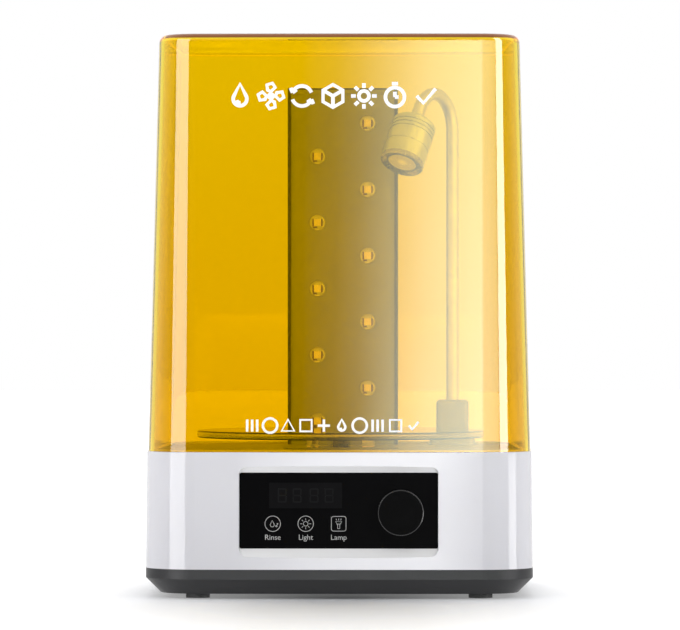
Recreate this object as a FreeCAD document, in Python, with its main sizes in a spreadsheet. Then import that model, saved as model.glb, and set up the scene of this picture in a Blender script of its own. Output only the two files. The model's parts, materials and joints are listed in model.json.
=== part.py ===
"""Resin wash and cure station: a lift-off amber hood over a base with a turntable, a column of curing
lights and a posable lamp.

Frame: origin at the bottom centre of the whole object, +X right, +Y to the back, +Z up. Millimetres.
"""
import FreeCAD, Part
import math
import os
import Sketcher

V = FreeCAD.Vector
UP = V(0, 0, 1)

DIMS = {
    # feet, tray, housing and hood, from the floor up
    "foot_height": 3.0, "foot_radius": 7.25, "foot_recess": 1.0, "foot_x": 85.6,
    "foot_front_y": -82.5, "foot_rear_y": 88.0,
    "tray_top": 18.0, "tray_chamfer": 9.0, "tray_wall": 2.5,
    "housing_top": 88.6, "housing_draft": 0.8, "housing_wall": 2.6,
    "housing_edge": 0.5, "hood_top": 341.0, "vent_half_length": 20.0, "vent_half_width": 1.2,
    "vent_first_y": 40.0, "vent_pitch": 7.0, "cut_through": 20.0,
    # plan outline: four bowed sides joined by round corners
    "half_width": 118.7, "half_depth": 110.25, "centre_y": 2.75, "corner_radius": 32.0,
    "bow_radius": 2600.0,
    # hood
    "hood_inset": 1.6, "hood_draft": 6.65, "hood_wall": 3.0, "hood_edge": 5.0,
    "hood_below": 2.0, "grip_length": 41.0, "grip_width": 13.0, "grip_depth": 0.8,
    # ledge, rib, flange and deck inside the housing's top
    "rib_inset": 5.0, "rib_height": 1.2, "ledge_inset": 6.8, "deck_gap": 0.3, "deck_thick": 3.0,
    "deck_drop": 0.2, "flange_thick": 3.0, "flange_inset": 25.5, "plinth_radius": 36.0,
    "plinth_height": 0.6, "deck_slot_half": 8.0, "deck_slot_wide": 2.0, "deck_slot_y": 85.0,
    "deck_blind": 3.0,
    # housing fasteners
    "boss_x": 97.0, "boss_front_y": -70.0, "boss_rear_y": 76.0, "boss_radius": 4.0,
    "screw_radius": 1.5, "head_radius": 3.0, "head_height": 2.0, "head_fit": 0.2, "head_sunk": 0.3,
    "boss_thread": 16.0, "boss_grip": 12.0, "deck_grip": 2.0,
    "deck_screw_x": 100.0, "deck_screw_front_y": -40.0, "deck_screw_rear_y": 46.0,
    # control panel and its recess
    "panel_width": 119.5, "panel_low": 30.6, "panel_high": 76.2, "panel_front": -103.0,
    "panel_thick": 2.4, "panel_corner": 1.2, "recess_width": 120.0, "recess_front": -107.5,
    "recess_low": 24.9, "recess_high": 81.0, "recess_corner": 7.0, "pan_rear": -94.0,
    "pan_half_width": 55.0, "pan_low": 35.0, "pan_high": 72.0, "pan_corner": 2.0, "pan_margin_x": 4.0,
    "pan_margin_z": 3.0, "mouth_out": 1.5, "seat_out": 0.5, "fit_gap": 0.1, "tight_corner": 0.3,
    "window_x": -19.9, "window_z": 62.5, "window_width": 44.2, "window_height": 15.7,
    "window_thick": 0.8, "window_rim": 2.0, "window_corner": 0.8, "module_half_x": 21.5,
    "module_half_z": 7.5, "board_thick": 1.6, "board_margin": 2.0, "icon_led_half": 1.5,
    "icon_led_high": 2.0,
    "icon_low_x": -39.7, "icon_pitch": 19.85, "icon_z": 45.5,
    # knob and encoder
    "knob_x": 37.4, "knob_z": 52.4, "knob_radius": 13.75, "knob_front": -113.0,
    "knob_rear": -104.2, "knob_face": 3.2, "knob_skirt": 1.6, "knob_hub": 5.5, "knob_edge": 0.8,
    "shaft_radius": 3.0, "shaft_front": -110.6, "shaft_rear": -96.2, "stem_radius": 1.5,
    "stem_front": -99.0, "stem_rear": -93.6, "running_fit": 0.05, "encoder_size": 12.0,
    "encoder_front": -100.4, "encoder_floor": -95.2, "shaft_clear": 0.6, "stem_clear": 0.3,
    "stem_end_gap": 0.2,
    # drive
    "spindle_y": -10.5, "spindle_radius": 4.0, "motor_radius": 21.0, "motor_low": 24.0,
    "motor_high": 57.0, "motor_screw_x": 15.0, "motor_screw_radius": 2.6, "motor_screw_high": 1.8,
    "bracket_thick": 2.0, "bracket_half": 27.0, "bracket_arm_half": 8.0, "bracket_leg_x": 35.0,
    "bracket_tab_x": 45.0, "spindle_low": 48.0, "spindle_end_gap": 2.0, "tang_end_gap": 0.2,
    "drive_low": 89.3, "drive_high": 94.4, "drive_half": 3.5, "drive_fit": 0.12,
    "carrier_radius": 30.0, "carrier_low": 72.0, "carrier_high": 78.5, "magnet_radius": 6.0,
    "magnet_ring": 20.0, "magnet_depth": 5.0, "bush_radius": 8.0, "bush_flange": 11.0, "bush_low": 81.5,
    # turntable
    "hub_radius": 21.0, "hub_low": 89.4, "hub_high": 95.4, "disc_radius": 89.0, "disc_high": 99.8,
    "disc_edge": 0.8,
    # light column
    "column_half": 35.2, "column_front": 81.0, "column_rear": 101.0, "column_top": 316.0,
    "column_wall": 3.6, "column_skin": 3.0, "column_corner": 1.5, "column_slot_half": 6.0,
    "column_slot_wide": 1.5, "column_slot_y": 92.0, "column_thread": 4.0, "column_grip": 3.0,
    "plate_half": 32.0, "plate_step": 0.6,
    "plate_thick": 2.0, "led_x": 16.0, "led_low_z": 103.3, "led_pitch": 21.14, "lens_radius": 5.0,
    "lens_fit": 0.15, "lens_proud": 0.4, "lens_wall": 1.2, "led_board_front": 87.0,
    "chip_half": 2.2, "chip_thick": 1.2,
    "column_screw_x": 30.0, "column_screw_y": 96.5,
    # posable lamp
    "lamp_x": 70.0, "lamp_y": 82.5, "socket_low": 15.5, "socket_high": 12.0, "socket_top": 97.0,
    "socket_low_corner": 5.0, "stub_wall": 0.8, "plug_corner": 3.0, "pin_end_gap": 0.4, "neck_end_gap": 0.2,
    "plug_half": 10.3, "plug_top": 117.0, "plug_edge": 1.6, "pin_radius": 3.8,
    "pin_length": 8.6, "pin_fit": 0.1, "neck_radius": 4.0, "neck_foot": 111.8, "bend_low_z": 160.0,
    "bend_high_z": 240.0, "bend_gap": 1.2, "arch_spring_z": 288.4, "arch_radius": 23.0,
    "arch_sweep": 147.5, "lamp_yaw": -120.0, "neck_straight": 4.4, "tilt_at": 2.0, "tilt_gap": 1.6,
    "collar_radius": 5.0, "collar_length": 5.6, "collar_edge": 0.8, "head_radius_lamp": 13.8,
    "head_length": 31.7,
    "head_edge": 1.6, "groove_first": 4.2, "groove_pitch": 2.6, "groove_width": 1.0,
    "groove_depth": 0.7, "band_at": 18.8, "band_depth": 0.4, "band_width": 0.8, "head_wall": 1.8,
    "head_bore_from": 13.0, "lens_sunk": 1.2, "bezel_edge": 0.8, "lamp_chip_radius": 3.0,
    "bezel_length": 3.0, "bezel_lip": 1.4, "lamp_lens_radius": 9.0, "lamp_lens_thick": 4.0,
    "lamp_board_radius": 11.0, "lamp_board_thick": 2.0,
    # inlet, boards and sensor
    "inlet_x": -72.0, "inlet_z": 34.0, "inlet_radius": 4.4, "inlet_bore": 3.2, "inlet_face": 111.5,
    "inlet_rear_face": 97.0,
    "inlet_half_x": 6.0, "inlet_half_z": 5.5, "inlet_case_front": 96.0, "inlet_case_rear": 108.8,
    "inlet_bore_from": 101.0, "inlet_pin": 1.0, "jack_from": 100.0,
    "board_left": -88.0, "board_right": -33.0, "board_front": 40.0, "board_rear": 90.0,
    "standoff_high": 4.0, "standoff_radius": 2.5, "standoff_inset": 4.0, "standoff_rear_inset": 18.0,
    "socket_tall": 10.0, "socket_flat": 7.0,
    "sensor_x": 20.0, "sensor_half": 5.0, "sensor_front": 102.0, "sensor_rear": 108.4,
    "sensor_height": 4.0, "magnet_rod_radius": 1.0, "magnet_rod_length": 5.0,
}

VENT_COUNT = 7

doc = FreeCAD.newDocument("wash_and_cure_station")
dims = doc.addObject("Spreadsheet::Sheet", "dims")
for row, (alias, value) in enumerate(DIMS.items(), start=1):
    dims.set(f"A{row}", alias)
    dims.set(f"B{row}", str(value))
    dims.setAlias(f"B{row}", alias)
doc.recompute()

probe = doc.addObject("App::FeaturePython", "probe")
nodes = []


def bind(text):
    """Turn a formula on sheet aliases into an expression that names the sheet."""
    words = "".join(c if c.isalnum() or c == "_" else " " for c in str(text)).split()
    result = str(text)
    for word in sorted(set(words), key=len, reverse=True):
        if word in DIMS:
            parts = []
            start = 0
            while True:
                at = result.find(word, start)
                if at < 0:
                    parts.append(result[start:])
                    break
                before = result[at - 1] if at else " "
                after = result[at + len(word)] if at + len(word) < len(result) else " "
                whole = not (before.isalnum() or before in "_.") and not (after.isalnum() or after == "_")
                parts.append(result[start:at] + ("dims." + word if whole else word))
                start = at + len(word)
            result = "".join(parts)
    return result


def value(formula):
    """The number that a formula on sheet aliases gives now."""
    return float(probe.evalExpression(bind(formula)))


def drive(obj, prop, formula):
    """Bind one property of an object to a formula on sheet aliases."""
    obj.setExpression(prop, bind(formula))


def place(obj, x=0, y=0, z=0):
    """Bind an object's position."""
    for axis, formula in zip("xyz", (x, y, z)):
        if formula != 0:
            drive(obj, f"Placement.Base.{axis}", formula)


def label(obj, name):
    """Give a finished sub-part its own label and list it for the checks and the export."""
    obj.Label = name
    nodes.append(obj)
    return obj


# ---------------------------------------------------------------- primitives and booleans

def box(x_span, y_span, z_span):
    """A block between the given low and high faces along each axis."""
    solid = doc.addObject("Part::Box", "block")
    for prop, (low, high) in zip(("Length", "Width", "Height"), (x_span, y_span, z_span)):
        drive(solid, prop, f"({high}) - ({low})")
    place(solid, x_span[0], y_span[0], z_span[0])
    return solid


def cylinder(radius, low, high, x=0, y=0, axis="z"):
    """A round bar between two stations along an axis; x and y are its centre across that axis.

    Along "y" the centre is given as (x, z).
    """
    solid = doc.addObject("Part::Cylinder", "round")
    drive(solid, "Radius", radius)
    drive(solid, "Height", f"({high}) - ({low})")
    if axis == "z":
        place(solid, x, y, low)
    else:
        solid.Placement = FreeCAD.Placement(V(0, 0, 0), FreeCAD.Rotation(V(1, 0, 0), -90))
        place(solid, x, low, y)
    return solid


def fuse(*solids):
    """One solid out of several that touch."""
    result = doc.addObject("Part::MultiFuse", "joined")
    result.Shapes = list(solids)
    return result


def cut(base, *tools):
    """The base with every tool taken away."""
    result = doc.addObject("Part::Cut", "trimmed")
    result.Base = base
    result.Tool = tools[0] if len(tools) == 1 else fuse(*tools)
    return result


def group(solids):
    """Identical loose pieces kept as separate solids of one sub-part."""
    result = doc.addObject("Part::Compound", "set")
    result.Links = list(solids)
    return result


# ---------------------------------------------------------------- sketches

def new_body(name):
    """An empty PartDesign body, listed as a sub-part."""
    return label(doc.addObject("PartDesign::Body", name), name)


def sketch_on(body, role, offset=0, shift_y=0, shift_x=0):
    """A sketch on one of the body's own origin planes, moved along its normal by offset."""
    plane = next(f for f in body.Origin.OriginFeatures if f.Role == role)
    sketch = body.newObject("Sketcher::SketchObject", "outline")
    sketch.AttachmentSupport = [(plane, "")]
    sketch.MapMode = "FlatFace"
    for axis, formula in zip("xyz", (shift_x, shift_y, offset)):
        if formula != 0:
            drive(sketch, f"AttachmentOffset.Base.{axis}", formula)
    return sketch


def dimension(sketch, name, formula, kind, *where):
    """Add a driving dimension and bind it to the sheet."""
    index = sketch.addConstraint(Sketcher.Constraint(kind, *where, value(formula)))
    sketch.renameConstraint(index, name)
    drive(sketch, f"Constraints.{name}", formula)


def circle(sketch, radius, x=0, y=0, tag=""):
    """A circle with its centre and radius bound."""
    item = sketch.addGeometry(Part.Circle(V(value(x), value(y), 0), UP, value(radius)))
    dimension(sketch, f"radius{tag}", radius, "Radius", item)
    dimension(sketch, f"across{tag}", x, "DistanceX", -1, 1, item, 3)
    dimension(sketch, f"along{tag}", y, "DistanceY", -1, 1, item, 3)


def polygon(sketch, corners):
    """A closed outline of straight edges, each corner bound to the sheet."""
    points = [V(value(x), value(y), 0) for x, y in corners]
    lines = [sketch.addGeometry(Part.LineSegment(point, points[(i + 1) % len(points)]))
             for i, point in enumerate(points)]
    for i, line in enumerate(lines):
        sketch.addConstraint(Sketcher.Constraint("Coincident", line, 2, lines[(i + 1) % len(lines)], 1))
    for i, (x, y) in enumerate(corners):
        dimension(sketch, f"across{i}", x, "DistanceX", -1, 1, lines[i], 1)
        dimension(sketch, f"along{i}", y, "DistanceY", -1, 1, lines[i], 1)


def rounded_rectangle(sketch, half_x, half_y, radius, x=0, y=0):
    """A rectangle with round corners about (x, y)."""
    a, b, r, cx, cy = (value(f) for f in (half_x, half_y, radius, x, y))
    arcs = []
    for quarter, (side_x, side_y) in enumerate(((1, 1), (-1, 1), (-1, -1), (1, -1))):
        centre = V(cx + side_x * (a - r), cy + side_y * (b - r), 0)
        start, end = quarter * math.pi / 2, (quarter + 1) * math.pi / 2
        arcs.append(sketch.addGeometry(Part.ArcOfCircle(Part.Circle(centre, UP, r), start, end)))
    for i, arc in enumerate(arcs):
        after = arcs[(i + 1) % 4]
        start = sketch.Geometry[arc].EndPoint
        end = sketch.Geometry[after].StartPoint
        line = sketch.addGeometry(Part.LineSegment(start, end))
        sketch.addConstraint(Sketcher.Constraint("Tangent", arc, 2, line, 1))
        sketch.addConstraint(Sketcher.Constraint("Tangent", line, 2, after, 1))
        sketch.addConstraint(Sketcher.Constraint("Horizontal" if i % 2 == 0 else "Vertical", line))
    for arc in arcs[1:]:
        sketch.addConstraint(Sketcher.Constraint("Equal", arcs[0], arc))
    dimension(sketch, "radius", radius, "Radius", arcs[0])
    dimension(sketch, "right", f"({x}) + ({half_x}) - ({radius})", "DistanceX", -1, 1, arcs[0], 3)
    dimension(sketch, "upper", f"({y}) + ({half_y}) - ({radius})", "DistanceY", -1, 1, arcs[0], 3)
    dimension(sketch, "left", f"({x}) - ({half_x}) + ({radius})", "DistanceX", -1, 1, arcs[2], 3)
    dimension(sketch, "lower", f"({y}) - ({half_y}) + ({radius})", "DistanceY", -1, 1, arcs[2], 3)


def corner_centre(a, b, r, bow):
    """Centre of the corner arc that runs smoothly into the two bowed sides."""
    x, y = a - r, b - r
    for _ in range(8):
        f = math.hypot(x, y + bow - b) - (bow - r)
        g = math.hypot(x + bow - a, y) - (bow - r)
        x -= g
        y -= f
    return x, y


def bowed_outline(body, height, inset):
    """The product's plan outline at a height, drawn in by the inset on every side."""
    sketch = sketch_on(body, "XY_Plane", height, "centre_y")
    a, b, r, bow = (value(f"{f} - ({inset})") for f in
                    ("half_width", "half_depth", "corner_radius", "bow_radius"))
    cx, cy = corner_centre(a, b, r, bow)
    side_end = math.atan2(cy, cx - (a - bow))
    rear_start = math.atan2(cy - (b - bow), cx)
    half, full = math.pi, 2 * math.pi
    runs = [
        (V(a - bow, 0, 0), bow, -side_end, side_end),
        (V(cx, cy, 0), r, side_end, rear_start),
        (V(0, b - bow, 0), bow, rear_start, half - rear_start),
        (V(-cx, cy, 0), r, half - rear_start, half - side_end),
        (V(bow - a, 0, 0), bow, half - side_end, half + side_end),
        (V(-cx, -cy, 0), r, half + side_end, half + rear_start),
        (V(0, bow - b, 0), bow, half + rear_start, full - rear_start),
        (V(cx, -cy, 0), r, full - rear_start, full - side_end),
    ]
    arcs = [sketch.addGeometry(Part.ArcOfCircle(Part.Circle(centre, UP, radius), start, end))
            for centre, radius, start, end in runs]
    for i, arc in enumerate(arcs):
        sketch.addConstraint(Sketcher.Constraint("Tangent", arc, 2, arcs[(i + 1) % 8], 1))
    for arc in arcs[3::2]:
        sketch.addConstraint(Sketcher.Constraint("Equal", arcs[1], arc))
    for arc in arcs[2::2]:
        sketch.addConstraint(Sketcher.Constraint("Equal", arcs[0], arc))
    for arc, line in ((0, -1), (4, -1), (2, -2), (6, -2)):
        sketch.addConstraint(Sketcher.Constraint("PointOnObject", arcs[arc], 3, line))
    dimension(sketch, "bow", f"bow_radius - ({inset})", "Radius", arcs[0])
    dimension(sketch, "corner", f"corner_radius - ({inset})", "Radius", arcs[1])
    dimension(sketch, "right", "half_width - bow_radius", "DistanceX", -1, 1, arcs[0], 3)
    dimension(sketch, "left", "bow_radius - half_width", "DistanceX", -1, 1, arcs[4], 3)
    dimension(sketch, "rear", "half_depth - bow_radius", "DistanceY", -1, 1, arcs[2], 3)
    dimension(sketch, "front", "bow_radius - half_depth", "DistanceY", -1, 1, arcs[6], 3)
    return sketch


# ---------------------------------------------------------------- PartDesign features

def loft(body, kind, lower, upper):
    """A ruled loft between two sketches: kind is AdditiveLoft or SubtractiveLoft."""
    feature = body.newObject(f"PartDesign::{kind}", "loft")
    feature.Profile = lower
    feature.Sections = [upper]
    feature.Ruled = True
    return feature


def pad(body, sketch, length):
    """Material from a sketch along its normal."""
    feature = body.newObject("PartDesign::Pad", "pad")
    feature.Profile = sketch
    drive(feature, "Length", length)
    return feature


def pocket(body, sketch, length, along=True):
    """A cut from a sketch; along=True cuts in the direction of the sketch plane's normal."""
    before = volume_of(body)
    feature = body.newObject("PartDesign::Pocket", "pocket")
    feature.Profile = sketch
    drive(feature, "Length", length)
    feature.Reversed = along
    doc.recompute()
    if volume_of(body) >= before - 1e-6:
        raise ValueError(f"pocket in {body.Label} cuts nothing")
    return feature


def volume_of(body):
    """Volume of a body as built so far."""
    doc.recompute()
    return body.Shape.Volume


def edges_at(shape, height, tolerance=0.02):
    """Names of the edges that lie flat at a height."""
    names = []
    for i, edge in enumerate(shape.Edges, start=1):
        bounds = edge.BoundBox
        if abs(bounds.ZMin - height) < tolerance and abs(bounds.ZMax - height) < tolerance:
            names.append(f"Edge{i}")
    return names


def ease(body, kind, prop, size, names):
    """Fillet or chamfer named edges of the body as built so far."""
    doc.recompute()
    base = body.Tip
    feature = body.newObject(f"PartDesign::{kind}", "edge")
    feature.Base = (base, names)
    drive(feature, prop, size)
    return feature


def turned(name, outline):
    """A body of revolution about its own Z axis, from (radius, height) corners."""
    body = new_body(name)
    sketch = sketch_on(body, "XZ_Plane")
    polygon(sketch, outline)
    feature = body.newObject("PartDesign::Revolution", "turn")
    feature.Profile = sketch
    feature.ReferenceAxis = (sketch, ["V_Axis"])
    feature.Angle = 360
    return body


# ---------------------------------------------------------------- casing

def make_feet():
    """Four rubber feet, each let into the tray and chamfered at the floor."""
    feet = []
    for side in ("foot_x", "-foot_x"):
        for y in ("foot_front_y", "foot_rear_y"):
            feet.append(cylinder("foot_radius", "0", "foot_height + foot_recess", side, y))
    label(group(feet), "rubber_feet")


def four_corners(x, front_y, rear_y):
    """The four places that mirror each other across X."""
    return [(sx, y) for sx in (x, f"-{x}") for y in (front_y, rear_y)]


def make_tray():
    """Dark tray under the housing: chamfered outside, hollow inside, with posts, vents and recesses."""
    body = new_body("bottom_tray")
    pad(body, bowed_outline(body, "foot_height", "0"), "tray_top - foot_height")
    doc.recompute()
    ease(body, "Chamfer", "Size", "tray_chamfer", edges_at(body.Shape, value("foot_height")))
    upper = bowed_outline(body, "foot_height + tray_chamfer + 1", "tray_wall")
    pocket(body, upper, "tray_top")
    lower = bowed_outline(body, "foot_height + tray_wall", "tray_chamfer + tray_wall")
    pocket(body, lower, "tray_top")
    posts = sketch_on(body, "XY_Plane", "foot_height + 1")
    for i, (x, y) in enumerate(four_corners("boss_x", "boss_front_y", "boss_rear_y")):
        circle(posts, "boss_radius", x, y, i)
    pad(body, posts, "tray_top - foot_height - 1")
    holes = sketch_on(body, "XY_Plane", "foot_height - 1")
    for i, (x, y) in enumerate(four_corners("boss_x", "boss_front_y", "boss_rear_y")):
        circle(holes, "screw_radius", x, y, i)
    pocket(body, holes, "tray_top")
    heads = sketch_on(body, "XY_Plane", "foot_height - 1")
    for i, (x, y) in enumerate(four_corners("boss_x", "boss_front_y", "boss_rear_y")):
        circle(heads, "head_radius + head_fit", x, y, i)
    pocket(body, heads, "head_height + 1")
    recesses = sketch_on(body, "XY_Plane", "foot_height - 1")
    for i, (x, y) in enumerate(four_corners("foot_x", "foot_front_y", "foot_rear_y")):
        circle(recesses, "foot_radius", x, y, i)
    pocket(body, recesses, "foot_recess + 1")
    slot = sketch_on(body, "XY_Plane", "foot_height - 1")
    rounded_rectangle(slot, "vent_half_length", "vent_half_width", "vent_half_width - fit_gap",
                      "0", "vent_first_y")
    vent = pocket(body, slot, "tray_wall + 2")
    rows = body.newObject("PartDesign::LinearPattern", "vents")
    rows.Originals = [vent]
    rows.Direction = (slot, ["V_Axis"])
    rows.Occurrences = VENT_COUNT
    drive(rows, "Length", f"vent_pitch * {VENT_COUNT - 1}")
    body.Tip = rows


def make_housing():
    """White base shell: hood ledge and rib on top, flange for the deck, recess for the panel."""
    body = new_body("base_housing")
    loft(body, "AdditiveLoft", bowed_outline(body, "tray_top", "0"),
         bowed_outline(body, "housing_top", "housing_draft"))
    rib = bowed_outline(body, "housing_top - 1", "rib_inset")
    pad(body, rib, "rib_height + 1")
    flange_low = "housing_top - deck_drop - deck_thick - flange_thick"
    loft(body, "SubtractiveLoft", bowed_outline(body, "tray_top", "housing_wall"),
         bowed_outline(body, flange_low, "housing_wall + housing_draft"))
    pocket(body, bowed_outline(body, "housing_top - deck_drop - deck_thick", "ledge_inset"), "cut_through")
    pocket(body, bowed_outline(body, f"{flange_low} - 1", "flange_inset"), "cut_through")
    pan = sketch_on(body, "XZ_Plane", "-pan_rear")
    rounded_rectangle(pan, "recess_width/2 + pan_margin_x", "(recess_high - recess_low)/2 + pan_margin_z",
                      "pan_corner", "0", "(recess_high + recess_low)/2")
    pad(body, pan, "pan_rear - recess_front - pan_corner")
    mouth = sketch_on(body, "XZ_Plane", "mouth_out - recess_front")
    grow = "(mouth_out / (panel_front - recess_front))"
    high = f"(recess_high + (recess_high - panel_high) * {grow})"
    low = f"(recess_low - (panel_low - recess_low) * {grow})"
    rounded_rectangle(mouth, "recess_width/2", f"({high} - {low})/2", "recess_corner",
                      "0", f"({high} + {low})/2")
    floor = sketch_on(body, "XZ_Plane", "-panel_front")
    rounded_rectangle(floor, "recess_width/2", "(panel_high - panel_low)/2 + fit_gap", "panel_corner",
                      "0", "(panel_high + panel_low)/2")
    loft(body, "SubtractiveLoft", mouth, floor)
    seat = sketch_on(body, "XZ_Plane", "seat_out - panel_front")
    rounded_rectangle(seat, "recess_width/2", "(panel_high - panel_low)/2 + fit_gap", "panel_corner",
                      "0", "(panel_high + panel_low)/2")
    pocket(body, seat, "panel_thick + seat_out", along=False)
    window = sketch_on(body, "XZ_Plane", "-panel_front")
    rounded_rectangle(window, "pan_half_width", "(pan_high - pan_low)/2", "pan_corner",
                      "0", "(pan_high + pan_low)/2")
    pocket(body, window, "cut_through", along=False)
    bosses = sketch_on(body, "XY_Plane", "tray_top")
    for i, (x, y) in enumerate(four_corners("boss_x", "boss_front_y", "boss_rear_y")):
        circle(bosses, "boss_radius", x, y, i)
    pad(body, bosses, f"{flange_low} - tray_top + 1")
    threads = sketch_on(body, "XY_Plane", "tray_top - 1")
    for i, (x, y) in enumerate(four_corners("boss_x", "boss_front_y", "boss_rear_y")):
        circle(threads, "screw_radius", x, y, i)
    pocket(body, threads, "boss_thread")
    through = sketch_on(body, "XY_Plane", f"{flange_low} - 1")
    for i, x in enumerate(("-column_screw_x", "column_screw_x")):
        circle(through, "screw_radius", x, "column_screw_y", i)
    deck_screws = four_corners("deck_screw_x", "deck_screw_front_y", "deck_screw_rear_y")
    for i, (x, y) in enumerate(deck_screws, start=2):
        circle(through, "screw_radius", x, y, i)
    pocket(body, through, "flange_thick + 2")
    jack = sketch_on(body, "XZ_Plane", "-jack_from")
    circle(jack, "inlet_radius + fit_gap", "inlet_x", "inlet_z")
    pocket(body, jack, "cut_through", along=False)
    doc.recompute()
    ease(body, "Fillet", "Radius", "housing_edge", outer_edges(body.Shape, value("housing_top")))


def outer_edges(shape, height):
    """Edges at a height that lie on the outermost outline there."""
    names = edges_at(shape, height)
    reach = max(shape.Edges[int(n[4:]) - 1].BoundBox.XMax for n in names)
    inset = value("rib_inset") / 2
    kept = []
    for name in names:
        edge = shape.Edges[int(name[4:]) - 1]
        middle = edge.valueAt((edge.FirstParameter + edge.LastParameter) / 2)
        x = abs(middle.x)
        y = abs(middle.y - value("centre_y"))
        flat_x = reach - x < inset
        flat_y = value("half_depth - housing_draft") - y < inset
        corner = math.hypot(x - value("half_width - corner_radius"), y - value("half_depth - corner_radius"))
        round_part = x > value("half_width - corner_radius") and y > value("half_depth - corner_radius")
        if (round_part and corner > value("corner_radius - housing_draft") - inset) or \
                (not round_part and (flat_x or flat_y)):
            kept.append(name)
    return kept


def make_deck():
    """Dark plate that closes the housing, with a round plinth under the turntable."""
    body = new_body("top_deck")
    base = "housing_top - deck_drop - deck_thick"
    pad(body, bowed_outline(body, base, "ledge_inset + deck_gap"), "deck_thick")
    plinth = sketch_on(body, "XY_Plane", base)
    circle(plinth, "plinth_radius", "0", "spindle_y")
    pad(body, plinth, "deck_thick + plinth_height")
    bore = sketch_on(body, "XY_Plane", f"{base} - 1")
    circle(bore, "bush_radius", "0", "spindle_y")
    pocket(body, bore, "cut_through")
    lamp = sketch_on(body, "XY_Plane", f"{base} - 1")
    circle(lamp, "pin_radius + stub_wall", "lamp_x", "lamp_y")
    pocket(body, lamp, "cut_through")
    wires = sketch_on(body, "XY_Plane", f"{base} - 1")
    rounded_rectangle(wires, "deck_slot_half", "deck_slot_wide", "deck_slot_wide - fit_gap",
                      "0", "deck_slot_y")
    pocket(body, wires, "cut_through")
    screws = sketch_on(body, "XY_Plane", f"{base} - 1")
    for i, x in enumerate(("-column_screw_x", "column_screw_x")):
        circle(screws, "screw_radius", x, "column_screw_y", i)
    pocket(body, screws, "cut_through")
    blind = sketch_on(body, "XY_Plane", f"{base} - 1")
    for i, (x, y) in enumerate(four_corners("deck_screw_x", "deck_screw_front_y", "deck_screw_rear_y")):
        circle(blind, "screw_radius", x, y, i)
    pocket(body, blind, "deck_blind")


def make_hood():
    """Amber hood: drafted walls, rounded roof edge, open below, shallow grip mark on the roof."""
    body = new_body("cover")
    loft(body, "AdditiveLoft", bowed_outline(body, "housing_top", "hood_inset"),
         bowed_outline(body, "hood_top", "hood_inset + hood_draft"))
    slope = "hood_draft / (hood_top - housing_top)"
    inside = "hood_inset + hood_wall"
    loft(body, "SubtractiveLoft",
         bowed_outline(body, "housing_top - hood_below", f"{inside} - hood_below * {slope}"),
         bowed_outline(body, "hood_top - hood_wall", f"{inside} + hood_draft - hood_wall * {slope}"))
    doc.recompute()
    ease(body, "Fillet", "Radius", "hood_edge", edges_at(body.Shape, value("hood_top")))
    doc.recompute()
    ceiling = edges_at(body.Shape, value("hood_top - hood_wall"))
    ease(body, "Fillet", "Radius", "hood_edge - hood_wall", ceiling)
    grip = sketch_on(body, "XY_Plane", "hood_top - grip_depth", "centre_y")
    rounded_rectangle(grip, "grip_length/2", "grip_width/2", "grip_width/2 - fit_gap")
    pocket(body, grip, "grip_depth + 2")
    magnet = sketch_on(body, "XY_Plane", "housing_top - 1")
    circle(magnet, "magnet_rod_radius", "sensor_x", "centre_y + half_depth - hood_inset - hood_wall/2")
    pocket(body, magnet, "magnet_rod_length + 1")
    rear = "centre_y + half_depth - hood_inset - hood_wall/2"
    label(cylinder("magnet_rod_radius", "housing_top", "housing_top + magnet_rod_length",
                   "sensor_x", rear), "cover_magnet")


def make_casing_hardware():
    """Screws through the tray, the hood switch and the power inlet."""
    screws = []
    for x, y in four_corners("boss_x", "boss_front_y", "boss_rear_y"):
        shank = cylinder("screw_radius", "foot_height + head_height", "tray_top + boss_grip", x, y)
        head = cylinder("head_radius", "foot_height + head_sunk", "foot_height + head_height", x, y)
        screws.append(fuse(shank, head))
    label(group(screws), "housing_screws")
    under = "housing_top - deck_drop - deck_thick - flange_thick"
    screws = []
    for x, y in four_corners("deck_screw_x", "deck_screw_front_y", "deck_screw_rear_y"):
        shank = cylinder("screw_radius", under, f"{under} + flange_thick + deck_grip", x, y)
        head = cylinder("head_radius", f"{under} - head_height", under, x, y)
        screws.append(fuse(shank, head))
    label(group(screws), "deck_screws")
    label(box(("sensor_x - sensor_half", "sensor_x + sensor_half"), ("sensor_front", "sensor_rear"),
              (f"{under} - sensor_height", under)), "cover_sensor")
    sleeve = cylinder("inlet_radius", "inlet_rear_face", "inlet_face", "inlet_x", "inlet_z", "y")
    case = box(("inlet_x - inlet_half_x", "inlet_x + inlet_half_x"), ("inlet_case_front", "inlet_case_rear"),
               ("inlet_z - inlet_half_z", "inlet_z + inlet_half_z"))
    bore = cylinder("inlet_bore", "inlet_bore_from", "inlet_face + 1", "inlet_x", "inlet_z", "y")
    pin = cylinder("inlet_pin", "inlet_bore_from - 0.5", "inlet_face - 1", "inlet_x", "inlet_z", "y")
    label(fuse(cut(fuse(sleeve, case), bore), pin), "power_inlet")


# ---------------------------------------------------------------- control panel

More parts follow.
